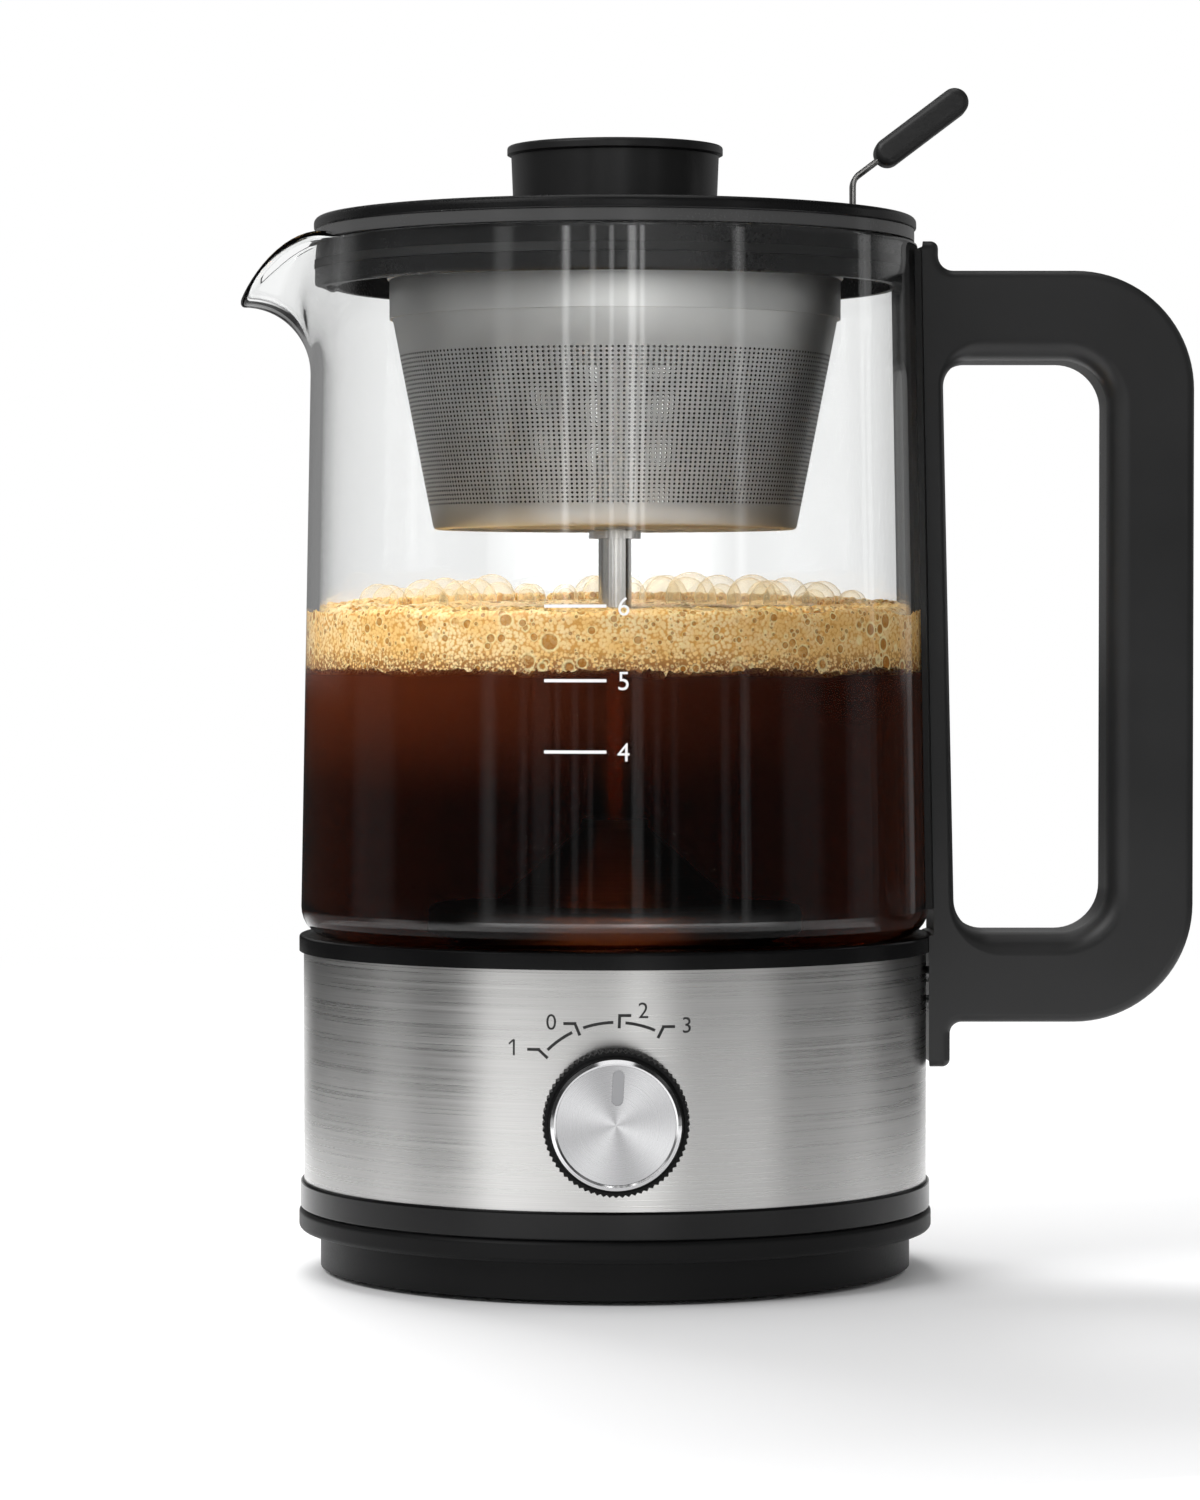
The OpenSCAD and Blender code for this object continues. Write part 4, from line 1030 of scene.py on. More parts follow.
@dataclass
class Jug:
    """Glass jug with its pulled spout, sizes in millimetres."""

    foot_r: float = 62.7
    rim_r: float = 60.2
    wall: float = 2.5
    bottom_z: float = 66.5
    corner_z: float = 72.5
    foot_round: float = 6.0
    rim_z: float = 204.5
    floor_radii: tuple[float, ...] = (50, 40, 32)
    hole_r: float = 24.5
    hole_edge: float = 0.4
    spout_reach: float = 13.5
    spout_drop: float = 11.8
    spout_curve: float = 2.2
    spout_z: float = 178.0
    spout_half: float = 24.0
    thinned: float = 0.7
    thinned_rows: int = 20
    lip: float = 0.8
    foot_rows: int = 9
    wall_rows: int = 12
    spout_rows: int = 25
    lip_rows: int = 8
    columns: int = 288
    crease: float = 50

    def radius(self, z: float | np.ndarray) -> float | np.ndarray:
        """Outer radius of the wall at height z."""
        return self.foot_r + (self.rim_r - self.foot_r) * (z - self.corner_z) / (self.rim_z - self.corner_z)

    def inner(self, z: float | np.ndarray) -> float | np.ndarray:
        """Inner radius of the wall at height z."""
        return self.radius(z) - self.wall

    def lean(self) -> float:
        """How much the radius grows per unit of height."""
        return (self.rim_r - self.foot_r) / (self.rim_z - self.corner_z)

    def share(self, turn: float) -> float:
        """How far the spout is pulled at an angle from its middle, from 0 to 1."""
        return math.cos(QUARTER * turn / self.spout_half) ** 2 if abs(turn) < self.spout_half else 0.0

    def outer_curve(self, turn: float) -> np.ndarray:
        """Outer side of the wall, from the foot to the lip.

        Args:
            turn: Angle from the spout, in degrees.

        Returns:
            Radius and height of its points.
        """
        share, bend = self.share(turn), self.foot_round
        foot = [(self.foot_r - bend + bend * math.sin(t), self.corner_z - bend * math.cos(t))
                for t in np.linspace(0, QUARTER, self.foot_rows)]
        heights = np.linspace(self.corner_z, self.spout_z, self.wall_rows)[1:]
        wall = [(self.radius(z), z) for z in heights]
        top = self.rim_z - self.lip - self.spout_drop * share ** self.spout_curve
        pull = []
        for t in np.linspace(0, QUARTER, self.spout_rows)[1:]:
            s = math.sin(t)
            z = self.spout_z + s * (top - self.spout_z)
            out = self.spout_reach * share * (1 - math.sqrt(max(0.0, 1 - s * s)))
            pull.append((self.radius(z) + out, z))
        return np.array(foot + wall + pull)

    def section(self, turn: float) -> np.ndarray:
        """Closed section of the wall, thinner towards the lip of the spout.

        Args:
            turn: Angle from the spout, in degrees.

        Returns:
            Radius and height of its points.
        """
        out = self.outer_curve(turn)
        way = np.gradient(out, axis=0)
        way /= np.linalg.norm(way, axis=1)[:, None]
        side = np.stack((-way[:, 1], way[:, 0]), axis=1)
        thick = np.full(len(out), self.wall)
        thick[-self.thinned_rows:] -= self.thinned * self.share(turn) * np.linspace(0, 1, self.thinned_rows)
        inside = out + side * thick[:, None]
        middle, across = (out[-1] + inside[-1]) / 2, (out[-1] - inside[-1]) / 2
        bead = [middle + across * math.cos(t) + way[-1] * self.lip * math.sin(t)
                for t in np.linspace(0, math.pi, self.lip_rows)[1:-1]]
        low, high = self.bottom_z, self.bottom_z + self.wall
        radii = (*self.floor_radii, self.hole_r + self.hole_edge)
        floor = [(r, high) for r in radii]
        edge = [(self.hole_r, high - self.hole_edge), (self.hole_r, low + self.hole_edge)]
        under = [(r, low) for r in reversed(radii)]
        return np.array([*out, *bead, *inside[::-1], *floor, *edge, *under])

    def build(self) -> None:
        """Makes the glass and puts it in place of its solid."""
        turns = np.linspace(-180, 180, self.columns, endpoint=False)
        grid = np.stack([self.section(t) for t in turns], axis=1)
        angle = np.radians(turns)
        radius, height = grid[..., 0], grid[..., 1]
        points = np.stack((-radius * np.cos(angle), radius * np.sin(angle), height), axis=-1)
        glass = link_mesh("glass_wall", points.reshape(-1, 3), wrap_rows(points, True), self.crease)
        Finishes.glass.dress(glass)
        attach(glass, Body.JUG.value)
        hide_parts("glass_jug")
        report(glass)


@dataclass
class Handle:
    """D-shaped handle on a spine along the glass, sizes in millimetres."""

    jug: Jug
    outer_x: float = 114.5
    grip_w: float = 17.1
    half: float = 11.5
    top_z: float = 198.6
    bottom_z: float = 49.9
    arm_top: float = 17.8
    arm_bottom: float = 17.7
    lug_top_z: float = 204.4
    lug_z: float = 41.0
    lug_x: float = 63.8
    low_lug_x: float = 66.4
    lug_corner: float = 1.5
    low_corner: float = 2.3
    top_corner: float = 3.0
    seat: float = 1.4
    collar_r: float = 63.2
    collar_z: float = 67.0
    collar_step: float = 0.3
    corner: float = 23.5
    corner_steps: int = 22
    small_steps: int = 8
    gap_steps: int = 14
    gap_low: Flat = (67.4, 6.5)
    gap_high: Flat = (64.9, 5.0)
    gap_corner: float = 9.0
    edge: float = 1.8
    gap_edge: float = 4.6
    spine_edge: float = 0.3
    crease: float = 38

    def loop(self, y: float, inset: float) -> np.ndarray:
        """Outline at a depth, with its inner side set on the collar and the glass.

        Args:
            y: The depth.
            inset: How far the outline is drawn inwards.

        Returns:
            Its points in order.
        """
        def across(r: float) -> float:
            """Distance of a round wall from the middle, at this depth."""
            return math.sqrt(r * r - y * y)

        jug = self.jug
        radii = (self.collar_r, jug.foot_r + self.seat, jug.rim_r + self.seat)
        collar, foot, rim = (across(r) for r in radii)
        corners = [
            (collar, self.lug_z, 0.0), (self.low_lug_x, self.lug_z, self.lug_corner),
            (self.low_lug_x, self.bottom_z, self.low_corner), (self.outer_x, self.bottom_z, self.corner),
            (self.outer_x, self.top_z, self.corner), (self.lug_x, self.top_z, self.top_corner),
            (self.lug_x, self.lug_top_z, self.lug_corner), (rim, self.lug_top_z, 0.0)]
        points = []
        for before, corner, after in zip(corners, corners[1:], corners[2:]):
            steps = self.corner_steps if corner[2] == self.corner else self.small_steps
            points += corner_arc(before, corner, after, inset, steps)
        points += [(rim, self.lug_top_z - inset), (foot, jug.corner_z),
                   (foot, self.collar_z + self.collar_step), (collar, self.collar_z),
                   (collar, self.lug_z + inset)]
        return np.array([(p[0], y, p[1]) for p in points])

    def gap_loop(self, y: float, inset: float) -> np.ndarray:
        """Outline of the finger gap at a depth.

        Args:
            y: The depth.
            inset: How far the outline is drawn inwards.

        Returns:
            Its points in order.
        """
        shift = (self.spine_edge - 1) * inset
        gap_x = self.outer_x - self.grip_w
        low, high = self.bottom_z + self.arm_bottom, self.top_z - self.arm_top
        corners = [(self.gap_low[0] + shift, low, self.gap_low[1]), (gap_x, low, self.gap_corner),
                   (gap_x, high, self.gap_corner), (self.gap_high[0] + shift, high, self.gap_high[1])]
        return np.array([(p[0], y, p[1]) for p in outline(corners, inset, self.gap_steps)])

    def build(self) -> None:
        """Makes the handle and puts it in place of its solid."""
        flat = self.half - self.edge
        rows = edge_rows(self.half, self.edge, 1)
        turn = len(rows) // 2
        middle = [(flat * i / 4, 0.0) for i in range(-3, 4)]
        grip = loft("handle_body", [self.loop(y, d) for y, d in rows[:turn] + middle + rows[turn:]])
        past, round_edge = self.half + 1, edge_rows(self.half, self.gap_edge, -1, 9)
        gap_rows = [(-past, -self.gap_edge), *round_edge, (past, -self.gap_edge)]
        gap = loft("gap", [self.gap_loop(y, d) for y, d in gap_rows])
        cut = grip.modifiers.new("gap", "BOOLEAN")
        cut.operation, cut.object, cut.solver = "DIFFERENCE", gap, "EXACT"
        settle(grip)
        smooth(grip.data, self.crease)
        weigh = grip.modifiers.new("normals", "WEIGHTED_NORMAL")
        weigh.keep_sharp = True
        settle(grip)
        discard(gap)
        Finishes.handle.dress(grip)
        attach(grip, Body.JUG.value)
        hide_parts("handle_grip")
        report(grip)


@dataclass
class Lever:
    """Padded end of the wire lever, sizes in millimetres."""

    pivot_x: float = 47.4
    bend_z: float = 217.4
    slope: float = 37.0
    reach: float = 6.0
    length: float = 21.95
    thick: float = 5.6
    wide: float = 9.0
    edge: float = 1.6
    flat_end: float = 0.01
    end_steps: int = 12
    crease: float = 40

    def build(self) -> None:
        """Makes the pad and puts it in place of its solid."""
        end = self.thick / 2 - self.flat_end
        low, high = -end - self.flat_end, end + self.flat_end
        corners = [(0, low, end), (self.length, low, end), (self.length, high, end), (0, high, end)]
        c, s = math.cos(math.radians(self.slope)), math.sin(math.radians(self.slope))
        loops = []
        for y, inset in edge_rows(self.wide / 2, self.edge, 1):
            flat = outline(corners, inset, self.end_steps)
            along, up = flat[:, 0] + self.reach, flat[:, 1]
            x, z = self.pivot_x + along * c - up * s, self.bend_z + along * s + up * c
            loops.append(np.stack((x, np.full(len(flat), y), z), axis=1))
        pad = loft("lever_pad", loops, self.crease)
        Finishes.handle.dress(pad)
        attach(pad, Body.LEVER.value)
        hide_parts("lever_grip")
        report(pad)


@dataclass
class Basket:
    """Tapered steel basket with a finely pierced wall, sizes in millimetres."""

    floor_r: float = 36.2
    top_r: float = 44.35
    floor_z: float = 147.6
    top_z: float = 189.3
    lip_z: float = 191.0
    ledge: float = 3.0
    sheet: float = 0.6
    bend: float = 0.15
    bend_z: float = 0.6
    holes_z: float = 152.0
    columns: int = 240
    rows: int = 36
    pitch_up: float = 0.841
    pitch_round: float = 1.0
    hole_r: float = 0.26
    sides: int = 6
    rim_columns: int = 192
    crease: float = 30
    facing: float = 0.5

    def radius(self, z: float) -> float:
        """Outer radius of the cup at height z."""
        return self.floor_r + (self.top_r - self.floor_r) * (z - self.floor_z) / (self.top_z - self.floor_z)

    def lean(self) -> float:
        """How much the radius grows per unit of height."""
        return (self.top_r - self.floor_r) / (self.top_z - self.floor_z)

    def cell(self) -> Piece:
        """Makes one piece of sheet with a hole through it, facing +Z.

        Returns:
            The piece of sheet.
        """
        w, h = self.pitch_round / 2, self.pitch_up / 2
        square = [(w, h), (-w, h), (-w, -h), (w, -h)]
        hole = [(self.hole_r * math.cos(t), self.hole_r * math.sin(t))
                for t in (2 * math.pi * (i + 0.5) / self.sides for i in range(self.sides))]
        flat = square + hole
        points = [(x, y, 0) for x, y in flat] + [(x, y, -self.sheet) for x, y in flat]
        # The corner of the square that is nearest to each corner of the hole.
        near = (0, 1, 1, 2, 3, 3)
        first, under = len(square), len(flat)
        front, walls = [], []
        for i in range(self.sides):
            j = (i + 1) % self.sides
            front.append((first + i, near[i], first + j))
            if near[i] != near[j]:
                front.append((first + j, near[i], near[j]))
            walls.append((first + i, first + j, under + first + j, under + first + i))
        back = [tuple(under + k for k in reversed(f)) for f in front]
        return link_plain("cell", points, front + back + walls)

    def pierced(self, name: str, first: float) -> Piece:
        """Makes half of the pierced wall.

        Args:
            name: The piece's name.
            first: Angle that it starts at.

        Returns:
            The half, with its inside and hole walls in dark steel as painted shade.
        """
        cell = self.cell()
        count = self.columns // 2
        tree = Tree(
            "pierced_sheet", cell=cell, columns=count, rows=self.rows,
            width=(count - 1) * self.pitch_round * MM, height=(self.rows - 1) * self.pitch_up * MM,
            turn=math.pi / (count * self.pitch_round * MM), first=first + QUARTER,
            low_radius=self.radius(self.holes_z) * MM, lean=self.lean(), low_height=self.holes_z * MM,
            half_height=self.rows * self.pitch_up * MM / 2, finish=Finishes.sheet.material())
        g, at = tree.g, tree.inputs
        grid = g.add("GeometryNodeMeshGrid", {"Size X": at["width"], "Size Y": at["height"],
                                              "Vertices X": at["columns"], "Vertices Y": at["rows"]})
        many = g.add("GeometryNodeInstanceOnPoints", {
            "Points": grid.outputs[0], "Instance": tree.shape_of("cell")})
        real = g.add("GeometryNodeRealizeInstances", {0: many.outputs[0]})
        joined = g.add("GeometryNodeMergeByDistance", {"Geometry": real.outputs[0], "Distance": 1e-6})
        spot = tree.spot()
        up = g.math("ADD", spot["Y"], at["half_height"])
        round_at = g.math("MULTIPLY_ADD", spot["X"], at["turn"], at["first"])
        radius = g.math("ADD", g.math("MULTIPLY_ADD", up, at["lean"], at["low_radius"]), spot["Z"])
        place = on_wall(tree, round_at, radius, g.math("ADD", up, at["low_height"]))
        bent = g.add("GeometryNodeSetPosition", {"Geometry": joined.outputs[0], "Position": place})
        tree.finish(bent.outputs[0], False)
        half = tree.run(name)
        discard(cell)
        Finishes.sheet.dress(half)
        # Faces that do not face outwards get the dark steel: painted shade inside the basket and in its
        # holes.
        half.data.materials.append(Finishes.stained.material())
        for face in half.data.polygons:
            face.material_index = int(face.normal.xy.dot(face.center.xy.normalized()) < self.facing)
        return half

    def bands(self) -> Piece:
        """Makes the plain rims above and below the holes, with the ledge that holds the floor.

        Returns:
            Both rims as one piece.
        """
        high, low = self.holes_z + self.rows * self.pitch_up, self.floor_z
        lower = [(self.floor_r - self.ledge, low), (self.floor_r - self.bend_z, low),
                 (self.floor_r - self.bend, low + self.bend),
                 (self.radius(low + self.bend_z), low + self.bend_z),
                 (self.radius(self.holes_z), self.holes_z),
                 (self.radius(self.holes_z) - self.sheet, self.holes_z),
                 (self.radius(low + self.sheet) - self.sheet, low + self.sheet),
                 (self.floor_r - self.ledge, low + self.sheet)]
        upper = [(self.radius(high), high), (self.top_r, self.top_z), (self.top_r, self.lip_z),
                 (self.top_r - self.sheet, self.lip_z), (self.top_r - self.sheet, self.top_z),
                 (self.radius(high) - self.sheet, high)]
        points, faces = [], []
        for profile in (lower, upper):
            turned, more = revolve(profile, self.rim_columns)
            faces += [tuple(k + len(points) for k in f) for f in more]
            points += turned
        return link_mesh("basket_rims", points, faces, self.crease)

    def build(self) -> None:
        """Makes the cup in three pieces, in place of its solid."""
        rims = self.bands()
        Finishes.sheet.dress(rims)
        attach(rims, Body.BASKET.value)
        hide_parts("basket_cup")
        report(rims)
        for name, first in (("basket_wall_front", -QUARTER), ("basket_wall_back", QUARTER)):
            half = self.pierced(name, first)
            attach(half, Body.BASKET.value)
            report(half)


@dataclass(frozen=True)
class Scatter:
    """How one kind of bubble lies on the froth.

    Attributes:
        name: The piece's name.
        finish: Its finish.
        span: Angles in degrees that the strip of bubbles lies between.
        reach: Inner and outer radius of the strip, in millimetres.
        sides: Number of sides of one bubble.
        rings: Heights of its rings, in degrees.
        apart: Least distance between bubbles, in millimetres.
        sizes: Smallest and largest radius, in millimetres.
    """

    name: str
    finish: Finish
    span: Flat
    reach: Flat
    sides: int
    rings: tuple[float, ...]
    apart: float
    sizes: Flat


@dataclass
class Brew:
    """Coffee with its froth, inside the glass, sizes in millimetres.

    Each wave of the froth is a height, a number of cosines, and the range of the crests of one.
    """

    jug: Jug
    sink: float = 0.08
    level: float = 121.5
    radii: tuple[float, ...] = (54, 45, 36, 24, 12, 2)
    froth_low: float = 120.0
    froth_top: float = 131.2
    back_rise: float = 3.4
    rise_curve: float = 1.5
    tilt: float = 0.4
    dip: float = 0.9
    under: float = 0.6
    rim_round: float = 0.5
    froth_sink: float = 1.5
    ring_span: Flat = (0.03, 0.97)
    under_radii: tuple[float, ...] = (55.0, 30.0, 2.0)
    lower_waves: tuple[Wave, ...] = ((0.3, 6, 3, 14), (0.22, 10, 30, 90), (0.3, 24, 120, 320))
    rim_waves: tuple[Wave, ...] = ((0.3, 6, 4, 22), (0.2, 8, 24, 60), (0.12, 16, 90, 240))
    lump_waves: tuple[Wave, ...] = ((0.5, 5, 1, 9), (0.25, 6, 6, 30))
    columns: int = 240
    wall_rows: int = 14
    crease: float = 60
    froth_columns: int = 720
    side_rows: int = 12
    froth_crease: float = 55
    rings: int = 20
    shelf_columns: int = 96
    shelf_sink: float = 0.2
    most_bubbles: float = 4e5
    seed: int = 7
    beads: Scatter = Scatter(
        "froth_beads", Finishes.froth, (0, 360), (46.0, 57.2), 8, (-25, 10, 45, 75), 1.3, (0.5, 1.3))
    large: Scatter = Scatter(
        "froth_bubbles", Finishes.bubble, (12, 168), (36.0, 52.5), 20, (-30, -8, 14, 34, 52, 68, 82), 7.0,
        (1.8, 5.4))

    def liquid(self) -> Piece:
        """Makes the coffee, reaching slightly into the glass so that no gap shows.

        Returns:
            The coffee.
        """
        jug = self.jug
        floor = jug.bottom_z + jug.wall - self.sink
        corner = jug.foot_round - jug.wall + self.sink
        middle = (jug.foot_r - jug.foot_round, jug.corner_z)
        arc = [(middle[0] + corner * math.sin(t), middle[1] - corner * math.cos(t))
               for t in np.linspace(0, QUARTER, jug.foot_rows)]
        heights = np.linspace(jug.corner_z, self.level, self.wall_rows)[1:]
        wall = [(jug.inner(z) + self.sink, z) for z in heights]
        under, top = [(r, floor) for r in reversed(self.radii)], [(r, self.level) for r in self.radii]
        points, faces = revolve(under + arc + wall + top, self.columns)
        return link_mesh("brew", points, faces, self.crease)

    def froth(self) -> Piece:
        """Makes the foam on the coffee, ragged below and lumpy above.

        Returns:
            The foam.
        """
        rng = np.random.default_rng(self.seed)
        count = self.froth_columns
        angle = around(count)

        def ripple(wave: Wave) -> np.ndarray:
            """Adds up cosines round the foam.

            Args:
                wave: Their height, their number and the range of their crests.

            Returns:
                Their sum at each angle.
            """
            height, waves, low, high = wave
            turns, starts = rng.integers(low, high, waves), rng.uniform(0, 2 * math.pi, waves)
            return height * sum(np.cos(k * angle + p) / math.sqrt(waves) for k, p in zip(turns, starts))

        lower = sum(map(ripple, self.lower_waves), self.froth_low)
        rim = sum(map(ripple, self.rim_waves), self.froth_top + self.rise(angle))
        rows = []
        for share in np.linspace(*self.ring_span, self.rings):
            lump = sum(ripple(wave) * share for wave in self.lump_waves)
            tilt = self.back_rise * self.tilt * (1 + share * np.sin(angle))
            mean = self.froth_top + tilt - self.dip * (1 - share)
            rows.append((np.full(count, share * self.jug.inner(self.froth_top)), mean + lump))
        heights = (rim + (lower - rim) * t for t in np.linspace(0, 1, self.side_rows))
        side = [(self.jug.inner(z) + self.sink * self.froth_sink, z) for z in heights]
        side[0] = (side[0][0] - self.rim_round, side[0][1])
        under = [(np.full(count, r), lower - self.under) for r in self.under_radii]
        grid = np.stack([ring(angle, r, z) for r, z in rows + side + under])
        return link_mesh("froth", grid.reshape(-1, 3), wrap_rows(grid, True), self.froth_crease)

    def rise(self, angle: np.ndarray) -> np.ndarray:
        """How far the froth stands higher at an angle, most at the back."""
        return self.back_rise * (0.5 + 0.5 * np.sin(angle)) ** self.rise_curve

    def shelf(self, start: float, end: float, inner: float, outer: float) -> Piece:
        """Makes the strip on the froth that bubbles sit on.

        Args:
            start: Angle that it starts at, in degrees.
            end: Angle that it ends at, in degrees.
            inner: Its inner radius.
            outer: Its outer radius.

        Returns:
            The strip.
        """
        n = self.shelf_columns
        angle = np.radians(np.linspace(start, end, n))
        z = self.froth_top + self.rise(angle) - self.shelf_sink
        points = [(r * math.cos(t), r * math.sin(t), h) for r in (inner, outer) for t, h in zip(angle, z)]
        return link_plain("shelf", points, [(i, i + 1, i + n + 1, i + n) for i in range(n - 1)])

    def dome(self, sides: int, heights: Sequence[float]) -> Piece:
        """Makes one bubble of unit radius.

        Args:
            sides: Number of its sides.
            heights: Heights of its rings, in degrees.

        Returns:
            The bubble.
        """
        points, _ = revolve([(math.cos(t), math.sin(t)) for t in np.radians(heights)], sides)
        rows = np.array(points).reshape(len(heights), sides, 3)
        top = tuple(range(len(points) - sides, len(points)))
        return link_plain("dome", rows.reshape(-1, 3) / MM, [*wrap_rows(rows, False), top])

    def bubbles(self, kind: Scatter) -> Piece:
        """Scatters one kind of bubble on the froth.

        Args:
            kind: How they lie.

        Returns:
            The bubbles as a plain mesh.
        """
        shelf, dome = self.shelf(*kind.span, *kind.reach), self.dome(kind.sides, kind.rings)
        smallest, largest = (size * MM for size in kind.sizes)
        tree = Tree(kind.name, shelf=shelf, dome=dome, apart=kind.apart * MM, most=self.most_bubbles,
                    seed=self.seed, smallest=smallest, largest=largest, finish=kind.finish.material())
        g, at = tree.g, tree.inputs
        points = g.add("GeometryNodeDistributePointsOnFaces", {
            "Mesh": tree.shape_of("shelf"), "Distance Min": at["apart"], "Density Max": at["most"],
            "Seed": at["seed"]}, distribute_method="POISSON")
        size = g.add("FunctionNodeRandomValue", {
            "Min": at["smallest"], "Max": at["largest"], "Seed": at["seed"]}, data_type="FLOAT")
        size_out = next(o for o in size.outputs if o.enabled)
        many = g.add("GeometryNodeInstanceOnPoints", {
            "Points": points.outputs["Points"], "Instance": tree.shape_of("dome"), "Scale": size_out})
        tree.finish(many.outputs[0], True)
        made = tree.run(kind.name)
        discard(shelf, dome)
        return made

    def build(self) -> None:
        """Makes the coffee, its froth and the bubbles."""
        beads, large = self.bubbles(self.beads), self.bubbles(self.large)
        dressed = ((self.liquid(), Finishes.brew), (self.froth(), Finishes.froth),
                   (beads, self.beads.finish), (large, self.large.finish))
        for piece, finish in dressed:
            finish.dress(piece)
            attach(piece, Body.JUG.value)
            report(piece)


class Print:
    """Flat drawing in millimetres that is wrapped on a round wall."""

    STEP = 0.8
    ARC_POINTS = 16
    DIGIT_SHARE = 0.7
    ONE_STEM = (0.45, 0.13)
    ONE_FLAG = (0.12, 0.72, 0.11)

    def __init__(self, name: str, finish: Finish) -> None:
        """Starts an empty drawing.

        Args:
            name: The print's name.
            finish: Its ink.
        """
        self.name, self.finish = name, finish
        self.points: list[Corner] = []
        self.faces: list[tuple[int, ...]] = []

    def line(self, path: Sequence[Flat], width: float) -> None:
        """Adds a line of even width, cut fine enough to follow the wall.

        Args:
            path: Points that it runs through.
            width: Its width.
        """
        dense = [np.array(path[0], float)]
        for a, b in zip(path, path[1:]):
            a, b = np.array(a, float), np.array(b, float)
            count = max(1, math.ceil(np.linalg.norm(b - a) / self.STEP))
            dense += [a + (b - a) * i / count for i in range(1, count + 1)]
        dense = np.array(dense)
        way = np.gradient(dense, axis=0)
        way /= np.linalg.norm(way, axis=1)[:, None]
        side = np.stack((-way[:, 1], way[:, 0]), axis=1) * width / 2
        first = len(self.points)
        for p, d in zip(dense, side):
            self.points += [(*(p + d), 0), (*(p - d), 0)]
        self.faces += [(k + 1, k + 3, k + 2, k) for k in range(first, first + 2 * len(dense) - 2, 2)]

    def arc(self, centre: Flat, radius: float, start: float, end: float, width: float) -> None:
        """Adds an arc that runs clockwise.

        Args:
            centre: Its middle.
            radius: Its radius.
            start: Angle that it starts at, in degrees from the top.
            end: Angle that it ends at.
            width: Width of its line.
        """
        turns = np.radians(np.linspace(start, end, self.ARC_POINTS))
        path = [(centre[0] + radius * math.sin(t), centre[1] + radius * math.cos(t)) for t in turns]
        self.line(path, width)

    def number(self, value: int, at: Flat, height: float) -> None:
        """Adds a plain number, with a drawn 1 that has no foot.

        Args:
            value: The number.
            at: Its left lower corner.
            height: Its height.
        """
        if value == 1:
            stem_x, stem_w = (share * height for share in self.ONE_STEM)
            flag_x, flag_z, flag_w = (share * height for share in self.ONE_FLAG)
            top = (at[0] + stem_x, at[1] + height)
            self.line([(at[0] + flag_x, at[1] + flag_z), top], flag_w)
            self.line([top, (top[0], at[1])], stem_w)
            return
        curve = bpy.data.curves.new("number", "FONT")
        curve.body, curve.size, curve.resolution_u = str(value), height / self.DIGIT_SHARE, 4
        text = bpy.data.objects.new("number", curve)
        bpy.context.scene.collection.objects.link(text)
        graph = bpy.context.evaluated_depsgraph_get()
        mesh = bpy.data.meshes.new_from_object(text.evaluated_get(graph))
        first = len(self.points)
        self.points += [(at[0] + v.co.x, at[1] + v.co.y, 0) for v in mesh.vertices]
        self.faces += [tuple(first + k for k in p.vertices) for p in mesh.polygons]
        discard(text)
        bpy.data.meshes.remove(mesh)

    def wrap(self, low_radius: float, lean: float, lift: float) -> None:
        """Wraps the drawing on a wall of the jug as a plain mesh.

        Args:
            low_radius: The wall's radius at height 0, in millimetres.
            lean: How much the radius grows per unit of height.
            lift: Height of the ink on the wall, in millimetres.
        """
        drawing = link_plain("drawing", self.points, self.faces)
        tree = Tree("wrapped_print", drawing=drawing, low_radius=low_radius * MM, lean=lean, lift=lift * MM,
                    finish=self.finish.material())
        g, at, spot = tree.g, tree.inputs, tree.spot()
        wall = g.math("MULTIPLY_ADD", spot["Y"], at["lean"], at["low_radius"])
        across = g.math("DIVIDE", spot["X"], wall)
        place = on_wall(tree, across, g.math("ADD", wall, at["lift"]), spot["Y"])
        bent = g.add("GeometryNodeSetPosition", {"Geometry": tree.shape_of("drawing"), "Position": place})
        tree.finish(bent.outputs[0], False)
        made = tree.run(self.name)
        discard(drawing)
        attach(made, Body.JUG.value)
        report(made)


